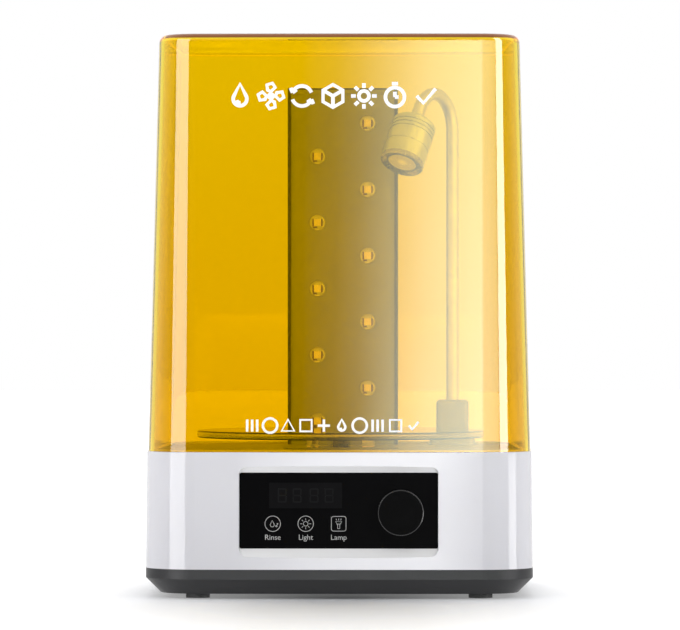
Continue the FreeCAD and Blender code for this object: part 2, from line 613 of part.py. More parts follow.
def make_panel():
    """Glossy panel plate, display window and module, board, and the lamps behind the icons."""
    body = new_body("control_panel")
    plate = sketch_on(body, "XZ_Plane", "-panel_front")
    middle = "(panel_high + panel_low)/2"
    rounded_rectangle(plate, "panel_width/2", "(panel_high - panel_low)/2", "panel_corner", "0", middle)
    slab = pad(body, plate, "panel_thick")
    slab.Reversed = True
    step = sketch_on(body, "XZ_Plane", "-panel_front + 1")
    rounded_rectangle(step, "window_width/2", "window_height/2", "tight_corner", "window_x", "window_z")
    pocket(body, step, "window_thick + 1", along=False)
    through = sketch_on(body, "XZ_Plane", "-panel_front + 1")
    rounded_rectangle(through, "window_width/2 - window_rim", "window_height/2 - window_rim", "window_corner",
                      "window_x", "window_z")
    pocket(body, through, "panel_thick + 3", along=False)
    shaft = sketch_on(body, "XZ_Plane", "-panel_front + 1")
    circle(shaft, "shaft_radius + shaft_clear", "knob_x", "knob_z")
    pocket(body, shaft, "panel_thick + 3", along=False)
    label(box(("window_x - window_width/2 + fit_gap", "window_x + window_width/2 - fit_gap"),
              ("panel_front", "panel_front + window_thick"),
              ("window_z - window_height/2 + fit_gap", "window_z + window_height/2 - fit_gap")),
          "display_window")
    rear = "panel_front + panel_thick"
    label(box(("window_x - module_half_x", "window_x + module_half_x"), (rear, "pan_rear"),
              ("window_z - module_half_z", "window_z + module_half_z")), "display_module")
    board = box(("-pan_half_width - board_margin", "pan_half_width + board_margin"),
                ("pan_rear", "pan_rear + board_thick"), ("pan_low - board_margin", "pan_high + board_margin"))
    hole = cylinder("stem_radius + stem_clear", "pan_rear - 1", "pan_rear + board_thick + 1",
                    "knob_x", "knob_z", "y")
    label(cut(board, hole), "panel_board")
    lights = []
    for i in range(3):
        x = f"icon_low_x + icon_pitch * {i}"
        lights.append(box((f"{x} - icon_led_half", f"{x} + icon_led_half"),
                          ("pan_rear - icon_led_high", "pan_rear"),
                          ("icon_z - icon_led_half", "icon_z + icon_led_half")))
    label(group(lights), "indicator_leds")


def make_encoder():
    """Rotary encoder with a push switch, its shaft and the knob."""
    half = "encoder_size/2"
    case = box((f"knob_x - {half}", f"knob_x + {half}"), ("encoder_front", "pan_rear"),
               (f"knob_z - {half}", f"knob_z + {half}"))
    at = ("knob_x", "knob_z", "y")
    cavity = cylinder("shaft_radius + running_fit", "encoder_front - 1", "encoder_floor", *at)
    guide = cylinder("stem_radius + running_fit", "encoder_floor - 1", "pan_rear + 1", *at)
    label(cut(case, cavity, guide), "encoder_body")
    label(cylinder("stem_radius", "stem_front", "stem_rear", *at), "encoder_push_stem")
    bar = cylinder("shaft_radius", "shaft_front", "shaft_rear", *at)
    blind = cylinder("stem_radius + running_fit", "stem_front - stem_end_gap", "shaft_rear + 1", *at)
    label(cut(bar, blind), "encoder_shaft")
    knob = turned("control_knob", [
        ("0", "knob_rear - knob_front"), ("knob_hub", "knob_rear - knob_front"),
        ("knob_hub", "knob_face"), ("knob_radius - knob_skirt", "knob_face"),
        ("knob_radius - knob_skirt", "knob_rear - knob_front"), ("knob_radius", "knob_rear - knob_front"),
        ("knob_radius", "knob_edge"), ("knob_radius - knob_edge", "0"), ("0", "0")])
    hole = sketch_on(knob, "XY_Plane", "shaft_front - knob_front")
    circle(hole, "shaft_radius")
    pocket(knob, hole, "cut_through")
    knob.Placement = FreeCAD.Placement(V(0, 0, 0), FreeCAD.Rotation(V(1, 0, 0), -90))
    place(knob, "knob_x", "knob_front", "knob_z")


# ---------------------------------------------------------------- drive and turntable

def make_drive():
    """Gear motor hung under the deck, spindle, bush, and the magnet carrier for a stirring basket."""
    motor = cylinder("motor_radius", "motor_low", "motor_high", "0", "spindle_y")
    bore = cylinder("spindle_radius + running_fit", "spindle_low - spindle_end_gap", "motor_high + 1",
                    "0", "spindle_y")
    label(cut(motor, bore), "drive_motor")
    deck_low = "housing_top - deck_drop - deck_thick"
    depth = ("spindle_y - bracket_arm_half", "spindle_y + bracket_arm_half")
    under = ("motor_high", "motor_high + bracket_thick")
    face = box(("-bracket_half", "bracket_half"), ("spindle_y - bracket_half", "spindle_y + bracket_half"),
               under)
    arms = box(("-bracket_leg_x", "bracket_leg_x"), depth, under)
    legs = [box(span, depth, ("motor_high", deck_low))
            for span in (("-bracket_leg_x", "bracket_thick - bracket_leg_x"),
                         ("bracket_leg_x - bracket_thick", "bracket_leg_x"))]
    tabs = [box(span, depth, (f"{deck_low} - bracket_thick", deck_low))
            for span in (("-bracket_tab_x", "-bracket_leg_x"), ("bracket_leg_x", "bracket_tab_x"))]
    hole = cylinder("bush_radius", "motor_high - 1", "motor_high + bracket_thick + 1", "0", "spindle_y")
    label(cut(fuse(face, arms, *legs, *tabs), hole), "motor_bracket")
    label(group([cylinder("motor_screw_radius", "motor_high + bracket_thick",
                          "motor_high + bracket_thick + motor_screw_high", x, "spindle_y")
                 for x in ("-motor_screw_x", "motor_screw_x")]), "motor_screws")
    shaft = cylinder("spindle_radius", "spindle_low", "drive_low", "0", "spindle_y")
    tang = box(("-drive_half", "drive_half"), ("spindle_y - drive_half", "spindle_y + drive_half"),
               ("drive_low", "drive_high"))
    label(fuse(shaft, tang), "drive_spindle")
    flanged = cylinder("bush_radius", "bush_low", "housing_top - deck_drop + plinth_height", "0", "spindle_y")
    collar = cylinder("bush_flange", "bush_low", deck_low, "0", "spindle_y")
    run = cylinder("spindle_radius + running_fit", "bush_low - 1", "hub_high", "0", "spindle_y")
    label(cut(fuse(flanged, collar), run), "spindle_bearing")
    disc = cylinder("carrier_radius", "carrier_low", "carrier_high", "0", "spindle_y")
    centre = cylinder("spindle_radius", "carrier_low - 1", "carrier_high + 1", "0", "spindle_y")
    pockets, magnets = [], []
    seat = "carrier_high - magnet_depth"
    for x in ("-magnet_ring", "magnet_ring"):
        pockets.append(cylinder("magnet_radius", seat, "carrier_high + 1", x, "spindle_y"))
        magnets.append(cylinder("magnet_radius", seat, "carrier_high", x, "spindle_y"))
    label(cut(disc, centre, *pockets), "magnet_carrier")
    label(group(magnets), "drive_magnets")


def make_turntable():
    """Clear disc on a clear hub that drops over the spindle's square tang."""
    hub = cylinder("hub_radius", "hub_low", "hub_high", "0", "spindle_y")
    socket = box(("-drive_half - drive_fit", "drive_half + drive_fit"),
                 ("spindle_y - drive_half - drive_fit", "spindle_y + drive_half + drive_fit"),
                 ("hub_low - 1", "drive_high + tang_end_gap"))
    label(cut(hub, socket), "turntable_hub")
    disc = turned("turntable_disc", [
        ("0", "hub_high"), ("disc_radius - disc_edge", "hub_high"), ("disc_radius", "hub_high + disc_edge"),
        ("disc_radius", "disc_high - disc_edge"), ("disc_radius - disc_edge", "disc_high"),
        ("0", "disc_high")])
    place(disc, "0", "spindle_y")


# ---------------------------------------------------------------- light column

def led_places():
    """Ten staggered places up the column, from the lowest on the left."""
    return [(("-led_x", "led_x")[k % 2], f"led_low_z + led_pitch * {k}") for k in range(10)]


def make_column():
    """Upright of curing lights: shell, front plate, board, chips, lenses and screws."""
    low = "housing_top - deck_drop"
    body = new_body("column_housing")
    shell = sketch_on(body, "XY_Plane", low)
    rounded_rectangle(shell, "column_half", "(column_rear - column_front)/2", "column_corner",
                      "0", "(column_rear + column_front)/2")
    pad(body, shell, f"column_top - ({low})")
    room = sketch_on(body, "XZ_Plane", "-column_front + 1")
    rounded_rectangle(room, "plate_half + fit_gap", f"(column_top - ({low}))/2 - column_wall", "tight_corner",
                      "0", f"(column_top + {low})/2")
    pocket(body, room, "column_rear - column_front - column_skin + 1", along=False)
    wires = sketch_on(body, "XY_Plane", f"{low} - 1")
    rounded_rectangle(wires, "column_slot_half", "column_slot_wide", "column_slot_wide - fit_gap",
                      "0", "column_slot_y")
    pocket(body, wires, "column_wall + 2")
    threads = sketch_on(body, "XY_Plane", f"{low} - 1")
    for i, x in enumerate(("-column_screw_x", "column_screw_x")):
        circle(threads, "screw_radius", x, "column_screw_y", i)
    pocket(body, threads, "column_thread")
    plate_low, plate_high = f"{low} + column_wall + fit_gap", "column_top - column_wall - fit_gap"
    front = "column_front + plate_step"
    plate = box(("-plate_half", "plate_half"), (front, f"{front} + plate_thick"), (plate_low, plate_high))
    holes = [cylinder("lens_radius + lens_fit", f"{front} - 1", f"{front} + plate_thick + 1", x, z, "y")
             for x, z in led_places()]
    label(cut(plate, *holes), "column_front_plate")
    label(box(("-plate_half", "plate_half"), ("led_board_front", "led_board_front + board_thick"),
              (plate_low, plate_high)), "led_board")
    chips, lenses = [], []
    for x, z in led_places():
        chips.append(box((f"{x} - chip_half", f"{x} + chip_half"),
                         ("led_board_front - chip_thick", "led_board_front"),
                         (f"{z} - chip_half", f"{z} + chip_half")))
        lens = cylinder("lens_radius", f"{front} - lens_proud", "led_board_front", x, z, "y")
        well = cylinder("lens_radius - lens_wall", "led_board_front - chip_thick - lens_wall/2",
                        "led_board_front + 1", x, z, "y")
        lenses.append(cut(lens, well))
    label(group(chips), "led_chips")
    label(group(lenses), "led_lenses")
    under = "housing_top - deck_drop - deck_thick - flange_thick"
    screws = []
    for x in ("-column_screw_x", "column_screw_x"):
        shank = cylinder("screw_radius", under, f"{low} + column_grip", x, "column_screw_y")
        head = cylinder("head_radius", f"{under} - head_height", under, x, "column_screw_y")
        screws.append(fuse(shank, head))
    label(group(screws), "column_screws")


# ---------------------------------------------------------------- posable lamp

def make_lamp_base():
    """Flared socket on the deck and the block that plugs into it."""
    low = "housing_top - deck_drop"
    body = new_body("lamp_socket")
    foot = sketch_on(body, "XY_Plane", low)
    rounded_rectangle(foot, "socket_low", "socket_low", "socket_low_corner", "lamp_x", "lamp_y")
    crown = sketch_on(body, "XY_Plane", "socket_top")
    rounded_rectangle(crown, "socket_high", "socket_high", "plug_corner", "lamp_x", "lamp_y")
    loft(body, "AdditiveLoft", foot, crown)
    stub = sketch_on(body, "XY_Plane", f"{low} - deck_thick")
    circle(stub, "pin_radius + stub_wall", "lamp_x", "lamp_y")
    pad(body, stub, "deck_thick + 1")
    well = sketch_on(body, "XY_Plane", "socket_top - pin_length - pin_end_gap")
    circle(well, "pin_radius + pin_fit", "lamp_x", "lamp_y")
    pocket(body, well, "cut_through")
    plug = new_body("lamp_plug")
    block = sketch_on(plug, "XY_Plane", "socket_top")
    rounded_rectangle(block, "plug_half", "plug_half", "plug_corner", "lamp_x", "lamp_y")
    pad(plug, block, "plug_top - socket_top")
    doc.recompute()
    ease(plug, "Chamfer", "Size", "plug_edge", edges_at(plug.Shape, value("plug_top")))
    pin = sketch_on(plug, "XY_Plane", "socket_top - pin_length")
    circle(pin, "pin_radius", "lamp_x", "lamp_y")
    pad(plug, pin, "pin_length + 1")
    bore = sketch_on(plug, "XY_Plane", "neck_foot - neck_end_gap")
    circle(bore, "neck_radius + running_fit", "lamp_x", "lamp_y")
    pocket(plug, bore, "cut_through")


def pipe_section(body, path, low):
    """A round bar of the neck's radius along a path drawn in the body's XZ plane."""
    ring = sketch_on(body, "XY_Plane", low)
    circle(ring, "neck_radius")
    pipe = body.newObject("PartDesign::AdditivePipe", "pipe")
    pipe.Profile = ring
    pipe.Spine = (path, [])
    return pipe


def make_neck():
    """The flexible neck in stiff lengths with a small gap at each bend, ending in the arch."""
    half_gap = "bend_gap/2"
    lower = cylinder("neck_radius", "neck_foot", f"bend_low_z - {half_gap}", "lamp_x", "lamp_y")
    label(lower, "neck_lower")
    middle = cylinder("neck_radius", f"bend_low_z + {half_gap}", f"bend_high_z - {half_gap}",
                      "lamp_x", "lamp_y")
    label(middle, "neck_middle")
    body = new_body("neck_upper")
    path = sketch_on(body, "XZ_Plane")
    start = f"bend_high_z + {half_gap}"
    radius, top = value("arch_radius"), value("arch_spring_z")
    end = math.radians(180 - value("arch_sweep"))
    rise = path.addGeometry(Part.LineSegment(V(0, value(start), 0), V(0, top, 0)))
    arch = path.addGeometry(Part.ArcOfCircle(Part.Circle(V(radius, top, 0), UP, radius), end, math.pi))
    tip_start = V(radius + radius * math.cos(end), top + radius * math.sin(end), 0)
    run = value("tilt_at - tilt_gap/2")
    tip_end = tip_start + V(math.sin(end), -math.cos(end), 0) * run
    tip = path.addGeometry(Part.LineSegment(tip_start, tip_end))
    path.addConstraint(Sketcher.Constraint("PointOnObject", rise, 1, -2))
    path.addConstraint(Sketcher.Constraint("Vertical", rise))
    path.addConstraint(Sketcher.Constraint("Tangent", rise, 2, arch, 2))
    path.addConstraint(Sketcher.Constraint("Tangent", arch, 1, tip, 1))
    dimension(path, "start", start, "DistanceY", -1, 1, rise, 1)
    dimension(path, "spring", "arch_spring_z", "DistanceY", -1, 1, rise, 2)
    dimension(path, "radius", "arch_radius", "Radius", arch)
    across = "arch_radius + arch_radius * cos(180 - arch_sweep)"
    dimension(path, "across", across, "DistanceX", -1, 1, arch, 1)
    dimension(path, "run", "tilt_at - tilt_gap/2", "Distance", tip)
    pipe_section(body, path, start)
    body.Placement = FreeCAD.Placement(V(0, 0, 0), FreeCAD.Rotation(UP, value("lamp_yaw")))
    place(body, "lamp_x", "lamp_y")


def lamp_frame(distance):
    """Placement of a lamp piece: local +Z runs along the lamp towards its lens."""
    end = math.radians(180 - value("arch_sweep"))
    yaw = math.radians(value("lamp_yaw"))
    reach = value("arch_radius") * (1 + math.cos(end)) + distance * math.sin(end)
    height = value("arch_spring_z") + value("arch_radius") * math.sin(end) - distance * math.cos(end)
    spot = V(value("lamp_x") + reach * math.cos(yaw), value("lamp_y") + reach * math.sin(yaw), height)
    aim = V(math.sin(end) * math.cos(yaw), math.sin(end) * math.sin(yaw), -math.cos(end))
    return FreeCAD.Placement(spot, FreeCAD.Rotation(UP, aim))


def make_lamp_head():
    """Lamp head on the neck's tip: tip, collar, turned shell, board, lens and bezel."""
    at_tilt = value("tilt_at")
    at_collar = value("neck_straight")
    at_head = value("neck_straight + collar_length")
    tip = turned("neck_tip", [("0", "tilt_gap/2"), ("neck_radius", "tilt_gap/2"),
                              ("neck_radius", "neck_straight - tilt_at"), ("0", "neck_straight - tilt_at")])
    tip.Placement = lamp_frame(at_tilt)
    collar = turned("lamp_collar", [
        ("0", "0"), ("collar_radius - collar_edge", "0"), ("collar_radius", "collar_edge"),
        ("collar_radius", "collar_length"), ("0", "collar_length")])
    collar.Placement = lamp_frame(at_collar)
    outline = [("0", "0"), ("head_radius_lamp - head_edge", "0"), ("head_radius_lamp", "head_edge")]
    for i in range(3):
        at = f"groove_first + groove_pitch * {i}"
        outline += [("head_radius_lamp", at), ("head_radius_lamp - groove_depth", at),
                    ("head_radius_lamp - groove_depth", f"{at} + groove_width"),
                    ("head_radius_lamp", f"{at} + groove_width")]
    bore = "head_radius_lamp - head_wall"
    mouth = "head_length - bezel_length"
    outline += [("head_radius_lamp", "band_at"), ("head_radius_lamp - band_depth", "band_at"),
                ("head_radius_lamp - band_depth", "band_at + band_width"),
                ("head_radius_lamp", "band_at + band_width"), ("head_radius_lamp", mouth),
                (bore, mouth), (bore, "head_bore_from"), ("0", "head_bore_from")]
    turned("lamp_head", outline).Placement = lamp_frame(at_head)
    board_high = "head_bore_from + lamp_board_thick"
    turned("lamp_led_board", [
        ("0", "head_bore_from"), ("lamp_board_radius", "head_bore_from"), ("lamp_board_radius", board_high),
        ("lamp_chip_radius", board_high), ("lamp_chip_radius", f"{board_high} + chip_thick"),
        ("0", f"{board_high} + chip_thick")]).Placement = lamp_frame(at_head)
    lens_high = "head_length - lens_sunk"
    lens_low = f"{lens_high} - lamp_lens_thick"
    turned("lamp_lens", [
        ("0", lens_low), (bore, lens_low), (bore, mouth), ("lamp_lens_radius", mouth),
        ("lamp_lens_radius", lens_high), ("0", lens_high)]).Placement = lamp_frame(at_head)
    turned("lamp_bezel", [
        ("lamp_lens_radius", mouth), ("head_radius_lamp", mouth),
        ("head_radius_lamp", "head_length - bezel_edge"), ("head_radius_lamp - bezel_edge", "head_length"),
        ("head_radius_lamp - bezel_lip", "head_length"),
        ("lamp_lens_radius + lens_sunk", lens_high), ("lamp_lens_radius", lens_high)
    ]).Placement = lamp_frame(at_head)


# ---------------------------------------------------------------- electronics in the base

def make_boards():
    """Main board on the tray's floor, with its connectors and its four posts."""
    floor = "foot_height + tray_wall"
    seat = f"{floor} + standoff_high"
    slab = box(("board_left", "board_right"), ("board_front", "board_rear"), (seat, f"{seat} + board_thick"))
    sockets = [box(("board_left + 2", "board_left + 14"), ("board_rear - 12", "board_rear - 2"),
                   (f"{seat} + 1", f"{seat} + socket_tall")),
               box(("board_right - 27", "board_right - 13"), ("board_rear - 30", "board_rear - 16"),
                   (f"{seat} + 1", f"{seat} + socket_flat"))]
    label(fuse(slab, *sockets), "main_board")
    posts = [cylinder("standoff_radius", floor, seat, x, y)
             for x in ("board_left + standoff_inset", "board_right - standoff_inset")
             for y in ("board_front + standoff_inset", "board_rear - standoff_rear_inset")]
    label(group(posts), "board_standoffs")


def export():
    """Check every object and every sub-part, then write one STEP file for each."""
    doc.recompute()
    for obj in doc.Objects:
        if any(word in ("Invalid", "Error") for word in obj.State):
            raise ValueError(f"{obj.Label} failed: {obj.State}")
    os.makedirs("parts", exist_ok=True)
    for node in nodes:
        shape = node.Shape
        if shape.isNull() or not shape.isValid() or not shape.Solids:
            raise ValueError(f"{node.Label} has no valid solid")
        print(f"{node.Label}: {len(shape.Solids)} solid(s), {shape.Volume:.0f} mm3")
        shape.exportStep(f"parts/{node.Label}.step")
    print(f"{len(nodes)} sub-parts")


make_feet()
make_tray()
make_housing()
make_deck()
make_hood()
make_casing_hardware()
make_panel()
make_encoder()
make_drive()
make_turntable()
make_column()
make_lamp_base()
make_neck()
make_lamp_head()
make_boards()
export()
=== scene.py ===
"""Looks of the resin wash and cure station: materials, printed marks, lenses, neck, lights and camera."""
import json
import math

import bmesh
import bpy
from mathutils import Matrix, Vector
from mathutils.bvhtree import BVHTree


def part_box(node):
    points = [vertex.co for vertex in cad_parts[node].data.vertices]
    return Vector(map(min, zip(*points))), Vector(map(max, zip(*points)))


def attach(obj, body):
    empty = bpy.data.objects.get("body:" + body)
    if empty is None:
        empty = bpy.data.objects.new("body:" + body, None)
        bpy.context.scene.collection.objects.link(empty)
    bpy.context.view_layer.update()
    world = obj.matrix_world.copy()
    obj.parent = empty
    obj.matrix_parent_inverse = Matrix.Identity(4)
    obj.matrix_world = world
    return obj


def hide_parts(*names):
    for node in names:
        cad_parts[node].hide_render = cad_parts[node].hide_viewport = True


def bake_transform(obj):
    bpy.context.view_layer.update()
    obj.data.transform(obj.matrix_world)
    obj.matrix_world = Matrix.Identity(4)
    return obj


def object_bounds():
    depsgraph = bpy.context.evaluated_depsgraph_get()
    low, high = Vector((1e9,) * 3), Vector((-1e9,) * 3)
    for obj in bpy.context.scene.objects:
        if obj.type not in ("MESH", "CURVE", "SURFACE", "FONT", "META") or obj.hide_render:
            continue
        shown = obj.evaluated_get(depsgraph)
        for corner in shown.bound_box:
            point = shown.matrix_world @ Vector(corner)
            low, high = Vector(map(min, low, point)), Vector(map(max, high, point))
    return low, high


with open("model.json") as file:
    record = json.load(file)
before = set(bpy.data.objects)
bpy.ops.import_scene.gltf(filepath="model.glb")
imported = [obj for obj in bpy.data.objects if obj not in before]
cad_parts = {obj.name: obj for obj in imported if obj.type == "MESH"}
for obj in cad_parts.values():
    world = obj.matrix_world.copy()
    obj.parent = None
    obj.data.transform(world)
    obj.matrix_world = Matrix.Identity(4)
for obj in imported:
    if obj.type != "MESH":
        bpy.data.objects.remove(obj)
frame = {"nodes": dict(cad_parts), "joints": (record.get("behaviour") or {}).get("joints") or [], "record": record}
cad_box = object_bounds()
nodes = frame["nodes"]
joints = {joint["name"]: joint for joint in frame["joints"]}
MM = 0.001


# ---------------------------------------------------------------- node graphs

class NodeTree:
    """The nodes of a material or a world, with short ways to make and join them."""

    def __init__(self, owner):
        owner.use_nodes = True
        self.tree = owner.node_tree
        self.tree.nodes.clear()

    def add(self, kind):
        return self.tree.nodes.new(kind)

    def link(self, source, target):
        self.tree.links.new(source, target)

    def feed(self, target, source):
        """Give an input a number, a colour or another node's output."""
        if isinstance(source, (int, float)):
            target.default_value = source
        elif isinstance(source, tuple):
            target.default_value = (*source, 1)
        else:
            self.link(source, target)

    def remap(self, source, low, high, start=0.3, end=0.7):
        """A number from low to high as the source goes from start to end."""
        node = self.add("ShaderNodeMapRange")
        for name, value in (("From Min", start), ("From Max", end), ("To Min", low), ("To Max", high)):
            node.inputs[name].default_value = value
        self.link(source, node.inputs["Value"])
        return node.outputs[0]

    def maths(self, operation, first, second=0.0):
        """One operation on two numbers or outputs."""
        node = self.add("ShaderNodeMath")
        node.operation = operation
        self.feed(node.inputs[0], first)
        self.feed(node.inputs[1], second)
        return node.outputs[0]

    def combined(self, operation, sources):
        """The same operation taken along several outputs."""
        result = sources[0]
        for source in sources[1:]:
            result = self.maths(operation, result, source)
        return result

    def blend(self, factor, first, second, kind="RGBA"):
        """Between two colours, or two numbers, by a factor."""
        node = self.add("ShaderNodeMix")
        node.data_type = kind
        self.feed(node.inputs["A"], first)
        self.feed(node.inputs["B"], second)
        self.link(factor, node.inputs["Factor"])
        return node.outputs["Result"]

    def parts(self, vector):
        """The X, Y and Z of a vector."""
        split = self.add("ShaderNodeSeparateXYZ")
        self.link(vector, split.inputs[0])
        return split.outputs


class Graph(NodeTree):
    """A material with one Principled shader and object coordinates ready to drive it."""

    def __init__(self, name):
        self.material = bpy.data.materials.new(name)
        super().__init__(self.material)
        self.output = self.add("ShaderNodeOutputMaterial")
        self.shader = self.add("ShaderNodeBsdfPrincipled")
        self.link(self.shader.outputs[0], self.output.inputs["Surface"])
        self.coords = self.add("ShaderNodeTexCoord").outputs["Object"]

    def drive(self, socket, source):
        """Let another node set one of the shader's sockets."""
        self.link(source, self.shader.inputs[socket])

    def set(self, **values):
        """Constants on the shader's own sockets; underscores stand for spaces."""
        for name, value in values.items():
            self.shader.inputs[name.replace("_", " ")].default_value = value

    def steepness(self):
        """0 on an upright face, 1 on a level one."""
        facing = self.parts(self.add("ShaderNodeNewGeometry").outputs["True Normal"])
        return self.maths("ABSOLUTE", facing["Z"])

    def distance(self, centre, source=None):
        """Distance from a point of the object's space."""
        node = self.add("ShaderNodeVectorMath")
        node.operation = "DISTANCE"
        node.inputs[1].default_value = centre
        self.link(source or self.coords, node.inputs[0])
        return node.outputs["Value"]

    def noise(self, scale, detail=3.0, stretch=(1, 1, 1)):
        """Noise over the object, scale in cells per metre."""
        mapping = self.add("ShaderNodeMapping")
        mapping.inputs["Scale"].default_value = stretch
        self.link(self.coords, mapping.inputs["Vector"])
        noise = self.add("ShaderNodeTexNoise")
        noise.inputs["Scale"].default_value = scale
        noise.inputs["Detail"].default_value = detail
        self.link(mapping.outputs[0], noise.inputs["Vector"])
        return noise.outputs["Fac"]

    def tone(self, first, second, scale, detail=4.0, stretch=(1, 1, 1)):
        """A colour drifting between two close tones."""
        return self.blend(self.remap(self.noise(scale, detail, stretch), 0, 1), first, second)

    def colour(self, first, second, scale):
        """Base colour drifting between two close tones."""
        self.drive("Base Color", self.tone(first, second, scale))

    def roughness(self, low, high, scale, stretch=(1, 1, 1)):
        """Roughness drifting between two values."""
        self.drive("Roughness", self.remap(self.noise(scale, 5.0, stretch), low, high))

    def bump(self, height, distance):
        """Relief of a given depth in metres from a height from 0 to 1."""
        node = self.add("ShaderNodeBump")
        node.inputs["Distance"].default_value = distance
        node.inputs["Strength"].default_value = 1.0
        self.link(height, node.inputs["Height"])
        self.drive("Normal", node.outputs[0])

    def let_light_through(self, tint):
        """Lamps shine through this surface with a tint at each face, so what is inside is lit."""
        clear = self.add("ShaderNodeBsdfTransparent")
        self.feed(clear.inputs["Color"], tint)
        path = self.add("ShaderNodeLightPath")
        mix = self.add("ShaderNodeMixShader")
        self.link(path.outputs["Is Shadow Ray"], mix.inputs[0])
        self.link(self.shader.outputs[0], mix.inputs[1])
        self.link(clear.outputs[0], mix.inputs[2])
        self.link(mix.outputs[0], self.output.inputs["Surface"])


def plastic(name, first, second, rough, tone_scale=9.0, grain=2600.0, grain_depth=0.02 * MM, **fixed):
    """Moulded plastic: slow tone drift, uneven gloss and a fine moulded grain."""
    graph = Graph(name)
    graph.colour(first, second, tone_scale)
    graph.roughness(rough[0], rough[1], 160.0)
    graph.bump(graph.noise(grain, 2.0), grain_depth)
    graph.set(**fixed)
    return graph.material


def metal(name, first, second, rough, stretch=(1, 1, 1), depth=0.01 * MM, **fixed):
    """Metal with brush marks along the direction that the stretch leaves coarse."""
    graph = Graph(name)
    graph.colour(first, second, 60.0)
    graph.roughness(rough[0], rough[1], 900.0, stretch)
    graph.bump(graph.noise(1800.0, 3.0, stretch), depth)
    graph.set(Metallic=1.0, **fixed)
    return graph.material


def clear_graph(name, rough, ior, shadow_tint):
    """Clear moulded plastic that bends light and lets lamps in, still without its colour."""
    graph = Graph(name)
    graph.roughness(rough[0], rough[1], 240.0)
    graph.set(Transmission_Weight=1.0, IOR=ior)
    graph.let_light_through(shadow_tint)
    return graph


def clear_plastic(name, first, second, rough, ior, shadow_tint):
    """Clear moulded plastic in one tone."""
    graph = clear_graph(name, rough, ior, shadow_tint)
    graph.colour(first, second, 6.0)
    return graph.material


def hood_plastic():
    """Amber acrylic: painted shade deepening its tone towards the bottom, tone drifting at random too, walls a
    little wavy, a painted glow in the roof's edge.

    The edge's glow is painted light: a faint brown emission on its upper round, standing in for the light that
    real acrylic shows there from inside.
    """
    graph = clear_graph("hood amber", (0.0, 0.02), 1.49, (0.985, 0.87, 0.16))
    low, high = 90.0 * MM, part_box("cover")[1].z
    place = graph.parts(graph.coords)
    # Painted shade: the amber deepens towards the bottom of the hood.
    drift = graph.maths("ADD", graph.remap(place["Z"], -0.1, 0.9, low, high),
                        graph.remap(graph.noise(6.0, 4.0), 0.0, 0.2))
    graph.drive("Base Color", graph.blend(drift, (0.865, 0.610, 0.001), (0.895, 0.695, 0.002)))
    # Painted light: a brown glow on the upper round of the roof's edge.
    near_roof = graph.remap(place["Z"], 0.0, 1.0, high - 3.0 * MM, high - 2.2 * MM)
    on_the_round = graph.remap(graph.steepness(), 1.0, 0.0, 0.92, 0.98)
    graph.drive("Emission Strength", graph.maths("MULTIPLY", near_roof, on_the_round))
    graph.set(Emission_Color=(0.26, 0.085, 0.02, 1))
    graph.bump(graph.noise(14.0, 1.0), 0.1 * MM)
    return graph.material


def housing_plastic():
    """White housing: glossy all over, with painted light making the slopes above and below the panel whiter."""
    graph = Graph("housing white")
    place = graph.parts(graph.coords)
    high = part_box("control_panel")[1]
    side = high.x + 1.0 * MM
    ceiling = high.z + 6.0 * MM
    soft = 0.5 * MM
    # Painted light: the slopes above and below the panel are whiter than the rest of the housing.
    slopes = graph.combined("MULTIPLY", (
        graph.remap(graph.maths("ABSOLUTE", place["X"]), 1.0, 0.0, side, side + soft),
        graph.remap(graph.steepness(), 0.0, 1.0, 0.4, 0.5),
        graph.remap(place["Y"], 1.0, 0.0, high.y, high.y + soft),
        graph.remap(place["Z"], 1.0, 0.0, ceiling, ceiling + soft)))
    tone = graph.tone((0.70, 0.695, 0.735), (0.73, 0.725, 0.765), 9.0)
    graph.drive("Base Color", graph.blend(slopes, tone, (0.93, 0.93, 0.94)))
    graph.roughness(0.05, 0.08, 160.0)
    graph.bump(graph.noise(2600.0, 2.0), 0.002 * MM)
    graph.set(Specular_IOR_Level=0.3)
    return graph.material


def knob_plastic():
    """Near-black knob: matt face, glossier rim."""
    graph = Graph("knob black")
    graph.colour((0.002, 0.002, 0.0022), (0.004, 0.004, 0.0042), 9.0)
    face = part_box("control_knob")[0].y
    depth = graph.parts(graph.coords)["Y"]
    graph.drive("Specular IOR Level", graph.remap(depth, 0.006, 0.9, face + 0.1 * MM, face + 0.5 * MM))
    graph.roughness(0.22, 0.30, 160.0)
    return graph.material


def column_plastic():
    """Column moulding: the same grey as its plate in front, with painted shade darkening its sides and top edge.
    """
    graph = Graph("column dark")
    place = graph.parts(graph.coords)
    low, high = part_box("column_housing")
    # Painted shade: the sides and the top edge are dark, the front keeps the plate's grey.
    edges = graph.combined("MAXIMUM", (
        graph.remap(graph.maths("ABSOLUTE", place["X"]), 0, 1, high.x - 2.6 * MM, high.x - 2.0 * MM),
        graph.remap(place["Z"], 0, 1, high.z - 1.2 * MM, high.z - 0.8 * MM),
        graph.remap(place["Y"], 0, 1, low.y + 1.5 * MM, low.y + 2.2 * MM)))
    dark = graph.tone((0.030, 0.027, 0.025), (0.040, 0.037, 0.034), 9.0, 3.0)
    graph.drive("Base Color", graph.blend(edges, PLATE_GREY, dark))
    graph.roughness(0.38, 0.48, 160.0)
    return graph.material


def led_cup():
    """Pale moulding around each chip."""
    return plastic("lamp cup", (0.56, 0.55, 0.52), (0.64, 0.63, 0.60), (0.2, 0.3), tone_scale=500.0)


def chip_package():
    """Dark brown package under each chip."""
    return plastic("chip package", (0.10, 0.06, 0.03), (0.13, 0.08, 0.04), (0.3, 0.4), tone_scale=500.0)


